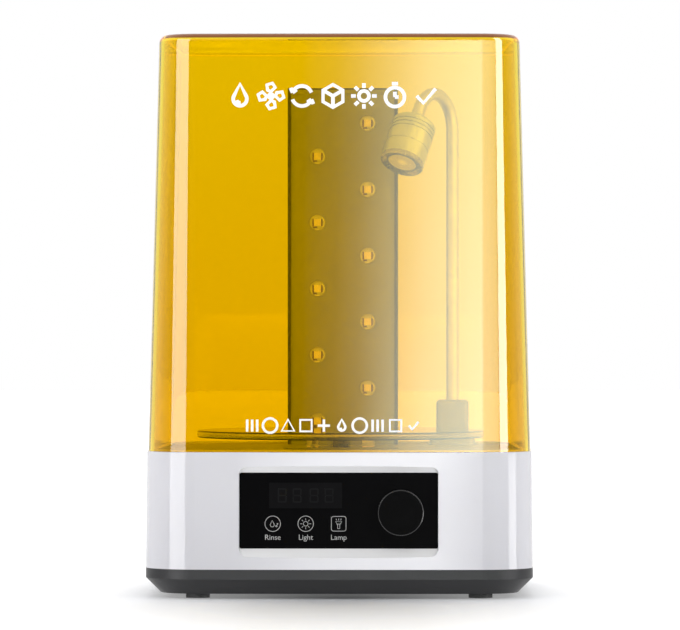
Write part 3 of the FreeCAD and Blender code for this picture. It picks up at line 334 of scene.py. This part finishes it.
def frosted_lens(centre, radius):
    """Frosted lamp lens: a painted highlight as a bright spot in its middle, greyer towards its rim."""
    graph = Graph("lamp lens")
    # Painted highlight: the middle of the lens is near white, the rim grey.
    rim = graph.remap(graph.distance(centre), 0, 1, 0.18 * radius, 0.38 * radius)
    graph.drive("Base Color", graph.blend(rim, (0.96, 0.95, 0.90), (0.62, 0.60, 0.57)))
    graph.roughness(0.15, 0.30, 200.0)
    return graph.material


PLATE_GREY = (0.252, 0.262, 0.255)
BLACK_FILM = {"grain_depth": 0.002 * MM, "Specular_IOR_Level": 0.004}
MATERIALS = {
    "housing_white": housing_plastic(),
    "tray_grey": plastic("tray grey", (0.040, 0.040, 0.042), (0.048, 0.048, 0.050), (0.34, 0.42),
                         grain=3200.0, grain_depth=0.03 * MM, Specular_IOR_Level=0.12),
    "foot_rubber": plastic("foot rubber", (0.025, 0.025, 0.026), (0.035, 0.035, 0.036), (0.65, 0.8)),
    "hood_amber": hood_plastic(),
    "clear_plastic": clear_plastic("clear plastic", (0.93, 0.94, 0.92), (0.90, 0.92, 0.90),
                                   (0.0, 0.04), 1.49, (0.96, 0.96, 0.95)),
    "clear_lens": clear_plastic("clear lens", (0.98, 0.98, 0.96), (0.95, 0.96, 0.94),
                                (0.0, 0.03), 1.45, (0.98, 0.98, 0.98)),
    "deck_dark": plastic("deck dark", (0.22, 0.22, 0.222), (0.24, 0.24, 0.245), (0.35, 0.45)),
    "panel_black": plastic("panel black", (0.0015, 0.0015, 0.0018), (0.0025, 0.0025, 0.0028),
                           (0.10, 0.16), **BLACK_FILM),
    "display_black": plastic("display black", (0.0055, 0.0055, 0.006), (0.0075, 0.0075, 0.008),
                             (0.18, 0.24), **BLACK_FILM),
    "knob_black": knob_plastic(),
    "column_dark": column_plastic(),
    "plate_dark": plastic("plate grey", PLATE_GREY, (0.270, 0.280, 0.272), (0.35, 0.42),
                          grain_depth=0.004 * MM),
    "circuit_green": plastic("circuit board", (0.02, 0.12, 0.06), (0.03, 0.17, 0.08), (0.3, 0.45)),
    "board_white": plastic("lamp board", (0.62, 0.62, 0.60), (0.72, 0.72, 0.70), (0.3, 0.4)),
    "chip_yellow": plastic("lamp chip", (0.78, 0.64, 0.26), (0.88, 0.76, 0.34), (0.25, 0.4),
                           tone_scale=400.0),
    "steel": metal("steel", (0.50, 0.50, 0.52), (0.60, 0.60, 0.61), (0.25, 0.4)),
    "magnet_nickel": metal("nickel", (0.62, 0.60, 0.56), (0.70, 0.68, 0.64), (0.12, 0.22)),
    "bush_bronze": metal("bronze", (0.45, 0.30, 0.16), (0.55, 0.38, 0.22), (0.35, 0.5)),
    "neck_silver": metal("neck steel", (0.48, 0.48, 0.49), (0.56, 0.56, 0.57), (0.32, 0.42), (1, 1, 12)),
    "lamp_shell": metal("lamp shell", (0.46, 0.50, 0.48), (0.54, 0.58, 0.56), (0.30, 0.40), (1, 1, 0.1)),
    "lamp_trim": metal("lamp trim", (0.36, 0.36, 0.37), (0.44, 0.44, 0.45), (0.2, 0.3)),
}


def white_print_and_glint():
    """White printing ink, very slightly uneven; the same white also paints the glints under the lenses as painted
    highlights.
    """
    return plastic("white print", (0.90, 0.90, 0.89), (0.96, 0.96, 0.95), (0.35, 0.5), tone_scale=60.0)


def print_grey():
    """Grey printing on the panel."""
    return plastic("grey print", (0.33, 0.33, 0.33), (0.40, 0.40, 0.40), (0.4, 0.55), tone_scale=200.0)


def print_ghost():
    """Segments of a switched-off display, just lighter than its window."""
    return plastic("display ghost", (0.0078, 0.0078, 0.0083), (0.0088, 0.0088, 0.0093), (0.3, 0.4),
                   tone_scale=200.0, Specular_IOR_Level=0.02)


for row in frame["record"]["subparts"]:
    slots = nodes[row["node"]].data.materials
    slots.clear()
    slots.append(MATERIALS.get(row["material_slot"], MATERIALS["neck_silver"]))


# ---------------------------------------------------------------- making pieces

def add_piece(name, mesh, material, body, smooth=True):
    """A finished mesh as a piece that rides on a body."""
    mesh.name = name
    mesh.materials.clear()
    mesh.materials.append(material)
    mesh.polygons.foreach_set("use_smooth", [smooth] * len(mesh.polygons))
    piece = bpy.data.objects.new(name, mesh)
    bpy.context.scene.collection.objects.link(piece)
    if body:
        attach(piece, body)
    return piece


def sharpen(piece, degrees=35.0):
    """Keep edges sharper than this angle crisp under smooth shading."""
    mesh = piece.data
    limit = math.radians(degrees)
    bm = bmesh.new()
    bm.from_mesh(mesh)
    for edge in bm.edges:
        if len(edge.link_faces) == 2:
            edge.smooth = edge.calc_face_angle() < limit
    bm.to_mesh(mesh)
    bm.free()


def merged(meshes):
    """One mesh out of several, with the parts kept separate."""
    bm = bmesh.new()
    for mesh in meshes:
        bm.from_mesh(mesh)
        bpy.data.meshes.remove(mesh)
    result = bpy.data.meshes.new("merged")
    bm.to_mesh(result)
    bm.free()
    return result


def lathe(profile, place, steps=48):
    """A closed profile of (radius, height) in metres turned about local Z, then put in place."""
    bm = bmesh.new()
    rings = []
    for radius, height in profile:
        if radius < 1e-7:
            rings.append([bm.verts.new(place @ Vector((0, 0, height)))])
            continue
        ring = []
        for k in range(steps):
            turn = 2 * math.pi * k / steps
            corner = Vector((radius * math.cos(turn), radius * math.sin(turn), height))
            ring.append(bm.verts.new(place @ corner))
        rings.append(ring)
    for lower, upper in zip(rings, rings[1:] + ([] if len(rings[0]) == 1 else rings[:1])):
        for k in range(steps):
            after = (k + 1) % steps
            corners = []
            for ring, at in ((lower, k), (lower, after), (upper, after), (upper, k)):
                vertex = ring[at] if len(ring) > 1 else ring[0]
                if vertex not in corners:
                    corners.append(vertex)
            if len(corners) > 2:
                bm.faces.new(corners)
    bmesh.ops.recalc_face_normals(bm, faces=bm.faces)
    mesh = bpy.data.meshes.new("lathe")
    bm.to_mesh(mesh)
    bm.free()
    return mesh


def tube(points, radius, steps=40):
    """A round bar along points that lie in one upright plane."""
    bm = bmesh.new()
    side = Vector(joints["neck_bend_low"]["axis"]).normalized()
    rings = []
    for i, point in enumerate(points):
        ahead = points[min(i + 1, len(points) - 1)] - points[max(i - 1, 0)]
        across = ahead.normalized().cross(side)
        ring = []
        for k in range(steps):
            turn = 2 * math.pi * k / steps
            ring.append(bm.verts.new(point + (side * math.cos(turn) + across * math.sin(turn)) * radius))
        rings.append(ring)
    for lower, upper in zip(rings, rings[1:]):
        for k in range(steps):
            after = (k + 1) % steps
            bm.faces.new((lower[k], lower[after], upper[after], upper[k]))
    bm.faces.new(rings[0])
    bm.faces.new(rings[-1])
    bmesh.ops.recalc_face_normals(bm, faces=bm.faces)
    mesh = bpy.data.meshes.new("tube")
    bm.to_mesh(mesh)
    bm.free()
    return mesh


def islands(node):
    """Centre of each separate solid of a CAD node."""
    bm = bmesh.new()
    bm.from_mesh(nodes[node].data)
    bmesh.ops.remove_doubles(bm, verts=bm.verts, dist=1e-6)
    left = set(bm.verts)
    centres = []
    while left:
        stack = [left.pop()]
        found = []
        while stack:
            vertex = stack.pop()
            found.append(vertex.co.copy())
            for edge in vertex.link_edges:
                other = edge.other_vert(vertex)
                if other in left:
                    left.discard(other)
                    stack.append(other)
        low = Vector([min(co[i] for co in found) for i in range(3)])
        high = Vector([max(co[i] for co in found) for i in range(3)])
        centres.append((low + high) / 2)
    bm.free()
    return sorted(centres, key=lambda c: (round(c.z, 4), round(c.x, 4)))


# ---------------------------------------------------------------- printed marks

def arc(radius, start=0.0, end=360.0, x=0.0, y=0.0, steps=40):
    """Points on an arc, angles in degrees."""
    count = max(4, round(steps * abs(end - start) / 360))
    last = count if abs(end - start) < 359.9 else count - 1
    turns = [math.radians(start + (end - start) * k / count) for k in range(last + 1)]
    return [(x + radius * math.cos(turn), y + radius * math.sin(turn)) for turn in turns]


def droplet(size, x=0.0, y=0.0):
    """A closed droplet with its tip up."""
    round_part = arc(0.5 * size, 150, 390, x, y - 0.25 * size, 48)
    return round_part + [(x, y + 0.85 * size)]


def rays(inner, outer, count, start=0.0):
    """Short strokes pointing away from the centre."""
    lines = []
    for k in range(count):
        turn = math.radians(start + 360 * k / count)
        lines.append(([(far * math.cos(turn), far * math.sin(turn)) for far in (inner, outer)], False))
    return lines


def ring_glyph():
    """A plain circle."""
    return [(arc(1.0), True)]


def frame_glyph():
    """A square frame with round corners."""
    points = []
    for quarter, (sx, sy) in enumerate(((1, 1), (-1, 1), (-1, -1), (1, -1))):
        points += arc(0.3, 90 * quarter, 90 * quarter + 90, 0.65 * sx, 0.65 * sy, 24)
    return [(points, True)]


def wash_glyph():
    """A drop with two bubbles beside it."""
    bubbles = [(arc(0.09, x=0.48, y=-0.30), True), (arc(0.06, x=0.62, y=-0.02), True)]
    return [(droplet(0.52, -0.06, -0.02), True)] + bubbles


def sun_glyph(core=0.30, inner=0.46, outer=0.70):
    """A circle with eight rays."""
    return [(arc(core), True)] + rays(inner, outer, 8)


def torch_glyph():
    """A lamp head on a grip, with three beams."""
    head = [(-0.40, 0.28), (0.40, 0.28), (0.22, -0.04), (-0.22, -0.04)]
    grip = [(-0.14, -0.06), (-0.14, -0.62), (0.14, -0.62), (0.14, -0.06)]
    beams = [([(x, 0.44), (x * 1.25, 0.66)], False) for x in (-0.26, 0.0, 0.26)]
    return [(head, True), (grip, False)] + beams


def turntable_glyph():
    """Two arrows chasing each other round."""
    lines = []
    for start in (20, 200):
        sweep = arc(0.72, start, start + 140)
        back = math.radians(start + 140 - 90)
        lines.append((sweep, False))
        tip_x, tip_y = sweep[-1]
        for lean in (-0.6, 0.75):
            barb = (tip_x + 0.36 * math.cos(back + lean), tip_y + 0.36 * math.sin(back + lean))
            lines.append(([(tip_x, tip_y), barb], False))
    return lines


def timer_glyph():
    """A stopwatch with two hands and a button."""
    hands = [([(0, -0.08), (0, 0.30)], False), ([(0, -0.08), (0.26, -0.08)], False)]
    return [(arc(0.68, y=-0.08), True)] + hands + [([(-0.22, 0.88), (0.22, 0.88)], False)]


def tick_glyph():
    """A tick."""
    return [([(-0.66, 0.0), (-0.18, -0.52), (0.70, 0.52)], False)]


def big_drop_glyph():
    """A large drop with a glint."""
    return [(droplet(0.98, 0, 0.04), True), (arc(0.26, 200, 280, 0, -0.22), False)]


def fan_glyph():
    """Four curved blades round a hub."""
    blade = [(0.32, 0.0), (0.62, -0.30), (0.92, -0.10), (0.80, 0.30), (0.42, 0.24)]
    lines = [(arc(0.14), True)]
    for k in range(4):
        cos, sin = math.cos(math.radians(90 * k)), math.sin(math.radians(90 * k))
        lines.append(([(x * cos - y * sin, x * sin + y * cos) for x, y in blade], True))
    return lines


def cube_glyph():
    """A cube seen from a corner."""
    turns = [math.radians(30 + 60 * k) for k in range(6)]
    hexagon = [(0.82 * math.cos(turn), 0.82 * math.sin(turn)) for turn in turns]
    return [(hexagon, True)] + [([(0, 0), hexagon[k]], False) for k in (0, 2, 4)]


def square_glyph():
    """A square."""
    return [([(-0.8, -0.8), (0.8, -0.8), (0.8, 0.8), (-0.8, 0.8)], True)]


def triangle_glyph():
    """A triangle."""
    return [([(-0.9, -0.75), (0.9, -0.75), (0, 0.85)], True)]


def bars_glyph():
    """Three upright bars."""
    return [([(x, -0.85), (x, 0.85)], False) for x in (-0.7, 0.0, 0.7)]


def plus_glyph():
    """A plus sign."""
    return [([(-0.85, 0), (0.85, 0)], False), ([(0, -0.85), (0, 0.85)], False)]


def stroke_mesh(lines, size, width, centre):
    """Glyph lines as flat-topped strokes: x and y across the print, z its thickness."""
    curve = bpy.data.curves.new("strokes", "CURVE")
    curve.dimensions = "3D"
    curve.bevel_depth = width / 2
    curve.bevel_resolution = 2
    curve.use_fill_caps = True
    for points, closed in lines:
        spline = curve.splines.new("POLY")
        spline.points.add(len(points) - 1)
        for point, (x, y) in zip(spline.points, points):
            point.co = (centre[0] + x * size, centre[1] + y * size, 0, 1)
        spline.use_cyclic_u = closed
    holder = bpy.data.objects.new("strokes", curve)
    mesh = bpy.data.meshes.new_from_object(holder)
    bpy.data.objects.remove(holder)
    return mesh


def text_mesh(words, size, centre):
    """Words as thin raised lettering."""
    font = bpy.data.curves.new("words", "FONT")
    font.body = words
    font.size = size
    font.align_x = "CENTER"
    font.align_y = "CENTER"
    font.extrude = 0.5
    font.resolution_u = 4
    holder = bpy.data.objects.new("words", font)
    mesh = bpy.data.meshes.new_from_object(holder)
    bpy.data.objects.remove(holder)
    for vertex in mesh.vertices:
        vertex.co = (vertex.co.x + centre[0], vertex.co.y + centre[1], vertex.co.z)
    return mesh


def print_on(name, meshes, node, material, body, thickness=0.06 * MM):
    """Lay marks, drawn in X and Z, on the front of a CAD node, standing out by a thickness."""
    mesh = merged(meshes)
    surface = BVHTree.FromPolygons([v.co.copy() for v in nodes[node].data.vertices],
                                   [tuple(p.vertices) for p in nodes[node].data.polygons])
    high = max(abs(v.co.z) for v in mesh.vertices)
    for vertex in mesh.vertices:
        x, z, lift = vertex.co
        hit = surface.ray_cast(Vector((x, -1.0, z)), Vector((0, 1, 0)))[0]
        vertex.co = (x, hit.y - thickness * lift / high, z)
    bm = bmesh.new()
    bm.from_mesh(mesh)
    bmesh.ops.recalc_face_normals(bm, faces=bm.faces)
    bm.to_mesh(mesh)
    bm.free()
    return add_piece(name, mesh, material, body, smooth=False)


ICONS = ((wash_glyph, ring_glyph, "Rinse"),
         (sun_glyph, ring_glyph, "Light"),
         (torch_glyph, frame_glyph, "Lamp"))


def print_icons():
    """Three icons, each over a short generic word, in front of the panel's indicator lights."""
    grey = print_grey()
    size = 4.65 * MM
    glyph_stroke, border_stroke = 0.34 * MM, 0.36 * MM
    letter_size, word_drop = 4.5 * MM, 8.3 * MM
    lights = sorted(islands("indicator_leds"), key=lambda c: c.x)
    for spot, (glyph, border, word) in zip(lights, ICONS):
        centre = (spot.x, spot.z)
        icon = [stroke_mesh(glyph(), size, glyph_stroke, centre),
                stroke_mesh(border(), size, border_stroke, centre)]
        print_on(f"icon_{word.lower()}", icon, "control_panel", grey, "root")
        letters = [text_mesh(word, letter_size, (spot.x, spot.z - word_drop))]
        print_on(f"label_{word.lower()}", letters, "control_panel", grey, "root")


def print_segments():
    """The dark segments of the display's four digits, with a wider gap in the middle."""
    low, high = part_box("display_window")
    middle = (low + high) / 2
    pitch, spread = 9.0 * MM, 0.6 * MM
    half_wide, half_high, gap = 2.3, 3.9, 0.5
    level = [[(-half_wide, y), (half_wide, y)] for y in (half_high, 0, -half_high)]
    corners = [(x, y) for y in (half_high, -half_high) for x in (-half_wide, half_wide)]
    upright = [[(x, y), (x, math.copysign(gap, y))] for x, y in corners]
    digits = []
    for k in range(4):
        x = middle.x + (k - 1.5) * pitch + math.copysign(spread, k - 1.5)
        bars = [(bar, False) for bar in level + upright]
        digits.append(stroke_mesh(bars, MM, 0.8 * MM, (x, middle.z)))
    print_on("display_segments", digits, "display_window", print_ghost(), "root",
             0.03 * MM)


def big_sun_glyph():
    """The sun, larger, as the hood's row has it."""
    return sun_glyph(0.36, 0.58, 0.92)


def print_row(name, ink, z, half_span, size, stroke, glyphs):
    """A row of evenly spaced glyphs on the front of the hood."""
    middle = -3.5 * MM
    marks = []
    for k, glyph in enumerate(glyphs):
        x = middle - half_span + 2 * half_span * k / (len(glyphs) - 1)
        marks.append(stroke_mesh(glyph(), size, stroke, (x, z)))
    print_on(name, marks, "cover", ink, "hood", 0.1 * MM)


def print_hood():
    """Generic pictograms on the hood: a large row near its top and a small scale near its bottom."""
    low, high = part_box("cover")
    white = white_print_and_glint()
    print_row("hood_pictograms", white, high.z - 38.0 * MM, 56.0 * MM, 8.4 * MM, 2.2 * MM,
              (big_drop_glyph, fan_glyph, turntable_glyph, cube_glyph, big_sun_glyph, timer_glyph,
               tick_glyph))
    print_row("hood_marks", white, low.z + 16.0 * MM, 48.5 * MM, 4.3 * MM, 1.5 * MM,
              (bars_glyph, ring_glyph, triangle_glyph, square_glyph, plus_glyph, big_drop_glyph,
               ring_glyph, bars_glyph, square_glyph, tick_glyph))


# ---------------------------------------------------------------- curing lights and lamp

def facing_front(spot):
    """Placement of a turned piece whose local Z points to the front, at a spot."""
    return Matrix.Translation(spot) @ Matrix.Rotation(math.radians(90), 4, "X")


def block(spot, size):
    """A box centred on a spot."""
    bm = bmesh.new()
    bmesh.ops.create_cube(bm, size=1.0)
    bmesh.ops.transform(bm, matrix=Matrix.Translation(spot) @ Matrix.Diagonal((*size, 1)), verts=bm.verts)
    mesh = bpy.data.meshes.new("block")
    bm.to_mesh(mesh)
    bm.free()
    return mesh


LENS_RADIUS = 4.7 * MM
LENS_SEAT, LENS_RISE = 0.3 * MM, 2.0 * MM
CUP_PROFILE = ((4.55, 0.5), (4.9, 0.4), (5.0, -0.6), (0, -0.6), (0, -0.25), (3.4, -0.25), (4.55, 0.0))
CHIP_FACE = ((-0.1, 0.15, 0.1), (4.2, 0.3, 4.0))
CHIP_FRAME = (((-2.7, 0.1, 0.0), (0.9, 0.3, 4.4)),
              ((2.4, 0.1, 0.0), (0.8, 0.3, 4.4)),
              ((-1.6, 0.1, -2.8), (2.2, 0.3, 1.0)))
# Painted highlights: two white crescents under each lens, standing in for its reflections.
GLINTS = ((3.9, -42, 48), (4.1, 245, 285))
GLINT_WIDTH = 0.8 * MM


def lens_profile():
    """Half section of a light's clear dome, from its top down to its flat underside."""
    dome = [(0, LENS_SEAT + LENS_RISE)]
    steps = 8
    for k in range(1, steps + 1):
        turn = math.radians(90 - 90 * k / steps)
        dome.append((LENS_RADIUS * math.cos(turn), LENS_SEAT + LENS_RISE * math.sin(turn)))
    return dome + [(LENS_RADIUS, 0.1 * MM), (0, 0.1 * MM)]


def sized_block(base, offset, size):
    """A block at an offset from a base, both in millimetres."""
    return block(base + Vector(offset) * MM, [side * MM for side in size])


def glint(base, radius, start, end):
    """A painted highlight: a bright white crescent under a lens, standing on the plate."""
    mesh = stroke_mesh([(arc(radius, start, end), False)], MM, GLINT_WIDTH, (base.x, base.z))
    for vertex in mesh.vertices:
        x, z, lift = vertex.co
        vertex.co = (x, base.y - 0.2 * MM - 0.3 * lift, z)
    return mesh


def make_lights():
    """At each of the column's ten lights: a clear dome, a cup, a framed chip and two bright crescents of painted
    highlight.
    """
    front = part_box("column_front_plate")[0].y
    cup = [(radius * MM, height * MM) for radius, height in CUP_PROFILE]
    lenses, cups, frames, faces, glints = [], [], [], [], []
    for spot in islands("led_chips"):
        base = Vector((spot.x, front, spot.z))
        lenses.append(lathe(lens_profile(), facing_front(base)))
        cups.append(lathe(cup, facing_front(base)))
        frames += [sized_block(base, offset, size) for offset, size in CHIP_FRAME]
        faces.append(sized_block(base, *CHIP_FACE))
        glints += [glint(base, *crescent) for crescent in GLINTS]
    domes = add_piece("led_lens_domes", merged(lenses), MATERIALS["clear_lens"], "root")
    sharpen(domes)
    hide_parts("led_lenses")
    reflectors = add_piece("led_cups", merged(cups), led_cup(), "root")
    sharpen(reflectors)
    add_piece("led_chip_frames", merged(frames), chip_package(), "root", smooth=False)
    add_piece("led_glints", merged(glints), white_print_and_glint(), "root")
    chips = add_piece("led_chip_faces", merged(faces), MATERIALS["chip_yellow"], "root",
                      smooth=False)
    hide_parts("led_chips")


def make_lamp_lens():
    """A clear-rimmed lens face with a painted bright centre, closing the lamp's mouth."""
    centre = islands("lamp_lens")[0]
    aim = lamp_aim()
    turn = Vector((0, 0, 1)).rotation_difference(aim).to_matrix().to_4x4()
    corners = [vertex.co - centre for vertex in nodes["lamp_lens"].data.vertices]
    along = [corner.dot(aim) for corner in corners]
    radius = max((corner - aim * corner.dot(aim)).length for corner in corners)
    back, front = min(along), max(along)
    rim = [(0, back), (radius, back), (radius, front), (0.86 * radius, front),
           (0.80 * radius, front - 0.5 * MM), (0.62 * radius, front - 0.1 * MM),
           (0.30 * radius, front - 0.4 * MM), (0, front - 0.4 * MM)]
    lens = add_piece("lamp_lens_face", lathe(rim, Matrix.Translation(centre) @ turn),
                     frosted_lens(centre, radius), "lamp")
    sharpen(lens, 50)
    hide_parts("lamp_lens")


def lamp_aim():
    """The direction in which the lamp points."""
    return (islands("lamp_lens")[0] - Vector(joints["lamp_tilt"]["pos_m"])).normalized()


def neck_line():
    """The neck's centreline in three runs: up, over the arch, and down to the lamp's collar."""
    low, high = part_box("neck_lower")
    foot = Vector(((low.x + high.x) / 2, (low.y + high.y) / 2, low.z))
    tilt = Vector(joints["lamp_tilt"]["pos_m"])
    aim = lamp_aim()
    flat = Vector((tilt.x - foot.x, tilt.y - foot.y, 0))
    out = flat.normalized()
    lean = aim.angle(Vector((0, 0, -1)))
    to_tilt = 2.0 * MM
    radius = (flat.length - to_tilt * math.sin(lean)) / (1 + math.cos(lean))
    spring = tilt.z + to_tilt * math.cos(lean) - radius * math.sin(lean)
    rise_steps, bend_steps, tip_steps = 60, 32, 6
    rise = [foot + Vector((0, 0, (spring - foot.z) * k / rise_steps)) for k in range(rise_steps + 1)]
    centre = Vector((foot.x, foot.y, spring)) + out * radius
    bend = []
    for k in range(1, bend_steps + 1):
        turn = math.pi - (math.pi - lean) * k / bend_steps
        bend.append(centre + out * radius * math.cos(turn) + Vector((0, 0, radius * math.sin(turn))))
    collar = min((vertex.co - bend[-1]).dot(aim) for vertex in nodes["lamp_collar"].data.vertices)
    tip = [bend[-1] + aim * (collar * k / tip_steps) for k in range(1, tip_steps + 1)]
    return rise, bend, tip


def add_hose(name, points, replaced):
    """A stretch of the neck's hose that replaces stiff lengths."""
    low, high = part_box("neck_lower")
    bar = tube(points, (high.x - low.x) / 2)
    hose = add_piece(name, bar, MATERIALS["neck_silver"], None)
    sharpen(hose)
    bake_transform(hose)
    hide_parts(*replaced)


def make_neck():
    """Smooth hose over the neck's stiff lengths, in three stretches."""
    rise, bend, tip = neck_line()
    line = rise + bend + tip
    low_bend, high_bend = (Vector(joints[name]["pos_m"]) for name in ("neck_bend_low", "neck_bend_high"))
    half_way = (low_bend.z + high_bend.z) / 2
    middle = min(range(len(rise)), key=lambda i: abs(line[i].z - half_way))
    apex = max(range(len(line)), key=lambda i: line[i].z)
    add_hose("neck_hose_low", line[:middle + 1],
             ("neck_lower", "neck_middle"))
    add_hose("neck_hose_high", line[middle:apex + 1],
             ("neck_upper",))
    add_hose("neck_hose_tip", line[apex:], ("neck_tip",))


# ---------------------------------------------------------------- stage, lights, camera

def studio_world():
    """White surroundings behind the object and for all that is seen through it, dim ones in front."""
    world = bpy.data.worlds.new("studio")
    bpy.context.scene.world = world
    sky = NodeTree(world)
    output = sky.add("ShaderNodeOutputWorld")
    path = sky.add("ShaderNodeLightPath").outputs
    direction = sky.parts(sky.add("ShaderNodeTexCoord").outputs["Generated"])
    level = sky.combined("MAXIMUM", (
        path["Is Camera Ray"],
        path["Is Transmission Ray"],
        sky.remap(direction["Y"], 0.02, 1.0, -0.5, 0.3),
        sky.remap(direction["Z"], 0.0, 0.6, 0.13, 0.55)))
    background = sky.add("ShaderNodeBackground")
    background.inputs["Color"].default_value = (1, 1, 1, 1)
    sky.link(level, background.inputs["Strength"])
    sky.link(background.outputs[0], output.inputs["Surface"])


def make_floor():
    """A wide pale floor with a painted shadow round the object: its glow grows away from it, fading to white."""
    mesh = bpy.data.meshes.new("floor")
    half = 8.0
    corners = [(-half, -half, 0), (half, -half, 0), (half, half, 0), (-half, half, 0)]
    mesh.from_pydata(corners, [], [(0, 1, 2, 3)])
    floor = bpy.data.objects.new("floor", mesh)
    bpy.context.scene.collection.objects.link(floor)
    graph = Graph("floor")
    graph.colour((0.635, 0.645, 0.675), (0.655, 0.665, 0.695), 3.0)
    graph.roughness(0.45, 0.55, 30.0)
    graph.set(Emission_Color=(1, 1, 1, 1))
    # Painted shadow: the floor's glow is weakest just in front of the object and grows outwards, more quickly
    # across.
    narrow = graph.add("ShaderNodeMapping")
    narrow.inputs["Scale"].default_value = (2.0, 1.0, 1.0)
    graph.link(graph.coords, narrow.inputs["Vector"])
    away = graph.distance((0, -0.12, 0), narrow.outputs[0])
    graph.drive("Emission Strength", graph.remap(away, 0.04, 0.60, 0.03, 0.42))
    mesh.materials.append(graph.material)
    floor.visible_glossy = False


def area_light(name, spot, target, size, energy, diffuse=True, glossy=True):
    """A rectangular soft light aimed at a point; it never shows itself to the camera."""
    data = bpy.data.lights.new(name, "AREA")
    data.shape = "RECTANGLE"
    data.size, data.size_y = size
    data.energy = energy
    lamp = bpy.data.objects.new(name, data)
    lamp.location = spot
    lamp.rotation_euler = (Vector(target) - Vector(spot)).to_track_quat("-Z", "Y").to_euler()
    lamp.visible_camera = False
    lamp.visible_transmission = False
    lamp.visible_diffuse = diffuse
    lamp.visible_glossy = glossy
    bpy.context.scene.collection.objects.link(lamp)


def level_profile(glow, source, stops):
    """A level that follows straight lines between (place, level) stops."""
    first, last = stops[0][0], stops[-1][0]
    peak = max(level for place, level in stops)
    ramp = glow.add("ShaderNodeValToRGB")
    elements = ramp.color_ramp.elements
    while len(elements) < len(stops):
        elements.new(0.5)
    for element, (at, level) in zip(elements, stops):
        element.position = (at - first) / (last - first)
        element.color = (level / peak, level / peak, level / peak, 1)
    glow.link(glow.remap(source, 0.0, 1.0, first, last), ramp.inputs[0])
    return glow.maths("MULTIPLY", ramp.outputs[0], peak)


def card_glow():
    """The card's light: one band across for what the hood mirrors, another for what the base mirrors."""
    material = bpy.data.materials.new("card glow")
    glow = NodeTree(material)
    output = glow.add("ShaderNodeOutputMaterial")
    emission = glow.add("ShaderNodeEmission")
    place = glow.parts(glow.add("ShaderNodeTexCoord").outputs["Object"])
    hood_band = level_profile(glow, place["X"], (
        (-0.14, 0), (-0.05, 0.7), (0.01, 2.1), (0.07, 4.5), (0.19, 9.8), (0.29, 13.4), (0.34, 11.8),
        (0.60, 10.5), (0.90, 8.0), (3.0, 6.0)))
    fade = level_profile(glow, place["Z"], ((0.15, 1.08), (0.70, 0.72)))
    base_band = level_profile(glow, place["X"], (
        (-0.42, 0), (-0.28, 3.5), (-0.14, 9.0), (0.0, 11.0), (0.20, 12.0), (0.26, 9.0), (0.31, 0)))
    upper = glow.remap(place["Z"], 0.0, 1.0, 0.09, 0.14)
    strength = glow.blend(upper, base_band, glow.maths("MULTIPLY", hood_band, fade), "FLOAT")
    glow.link(strength, emission.inputs["Strength"])
    glow.link(glow.blend(upper, (1, 1, 1), (0.88, 0.985, 0.89)), emission.inputs["Color"])
    glow.link(emission.outputs[0], output.inputs["Surface"])
    return material


def reflection_card():
    """A glowing card beside the camera, brighter to the right, seen only in reflections."""
    mesh = bpy.data.meshes.new("reflection_card")
    left, right, low, high, back = -0.44, 3.0, -0.9, 1.5, -3.1
    corners = [(left, back, low), (right, back, low), (right, back, high), (left, back, high)]
    mesh.from_pydata(corners, [], [(0, 1, 2, 3)])
    mesh.materials.append(card_glow())
    card = bpy.data.objects.new("reflection_card", mesh)
    bpy.context.scene.collection.objects.link(card)
    card.visible_camera = False
    card.visible_transmission = False
    card.visible_diffuse = False
    card.visible_shadow = False


def soft_boxes():
    """Soft boxes that only glossy surfaces mirror, and fills that only lighten matt ones."""
    low, high = cad_box
    middle = Vector((0, 0, (low.z + high.z) / 2))
    area_light("left_box", (-1.07, -1.04, 0.45), middle, (0.96, 1.9), 43, diffuse=False)
    area_light("right_box", (1.20, -0.85, 0.95), (0.0, 0.0, 0.95), (0.50, 1.7), 41, diffuse=False)
    area_light("right_box_low", (1.45, -0.45, -0.35), (0.0, 0.0, -0.35), (0.50, 0.85), 9.5, diffuse=False)
    area_light("left_fill", (-1.15, -0.55, 0.45), middle, (0.8, 0.8), 2.2, glossy=False)
    area_light("right_fill", (0.60, -0.90, 0.55), middle, (0.6, 0.6), 1.3, glossy=False)
    area_light("front_fill", (0.0, -1.5, 1.5), middle, (1.6, 0.8), 5, glossy=False)


def make_camera():
    """A long lens level with the middle of the object, a little to its right."""
    eye_height, eye_distance, eye_right = 0.1711, 2.944, 0.042
    data = bpy.data.cameras.new("camera")
    data.sensor_width = 36.0
    data.lens = 259.5
    data.clip_end = 60.0
    camera = bpy.data.objects.new("camera", data)
    camera.location = (eye_right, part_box("base_housing")[0].y - eye_distance, eye_height)
    aim = Vector((-0.0009, 0.018, eye_height))
    camera.rotation_euler = (aim - camera.location).to_track_quat("-Z", "Y").to_euler()
    bpy.context.scene.collection.objects.link(camera)
    bpy.context.scene.camera = camera
    bpy.context.scene.view_settings.view_transform = "Standard"
    bpy.context.scene.view_settings.look = "None"


studio_world()
make_floor()
reflection_card()
soft_boxes()
make_camera()
print_icons()
print_segments()
print_hood()
make_lights()
make_lamp_lens()
make_neck()
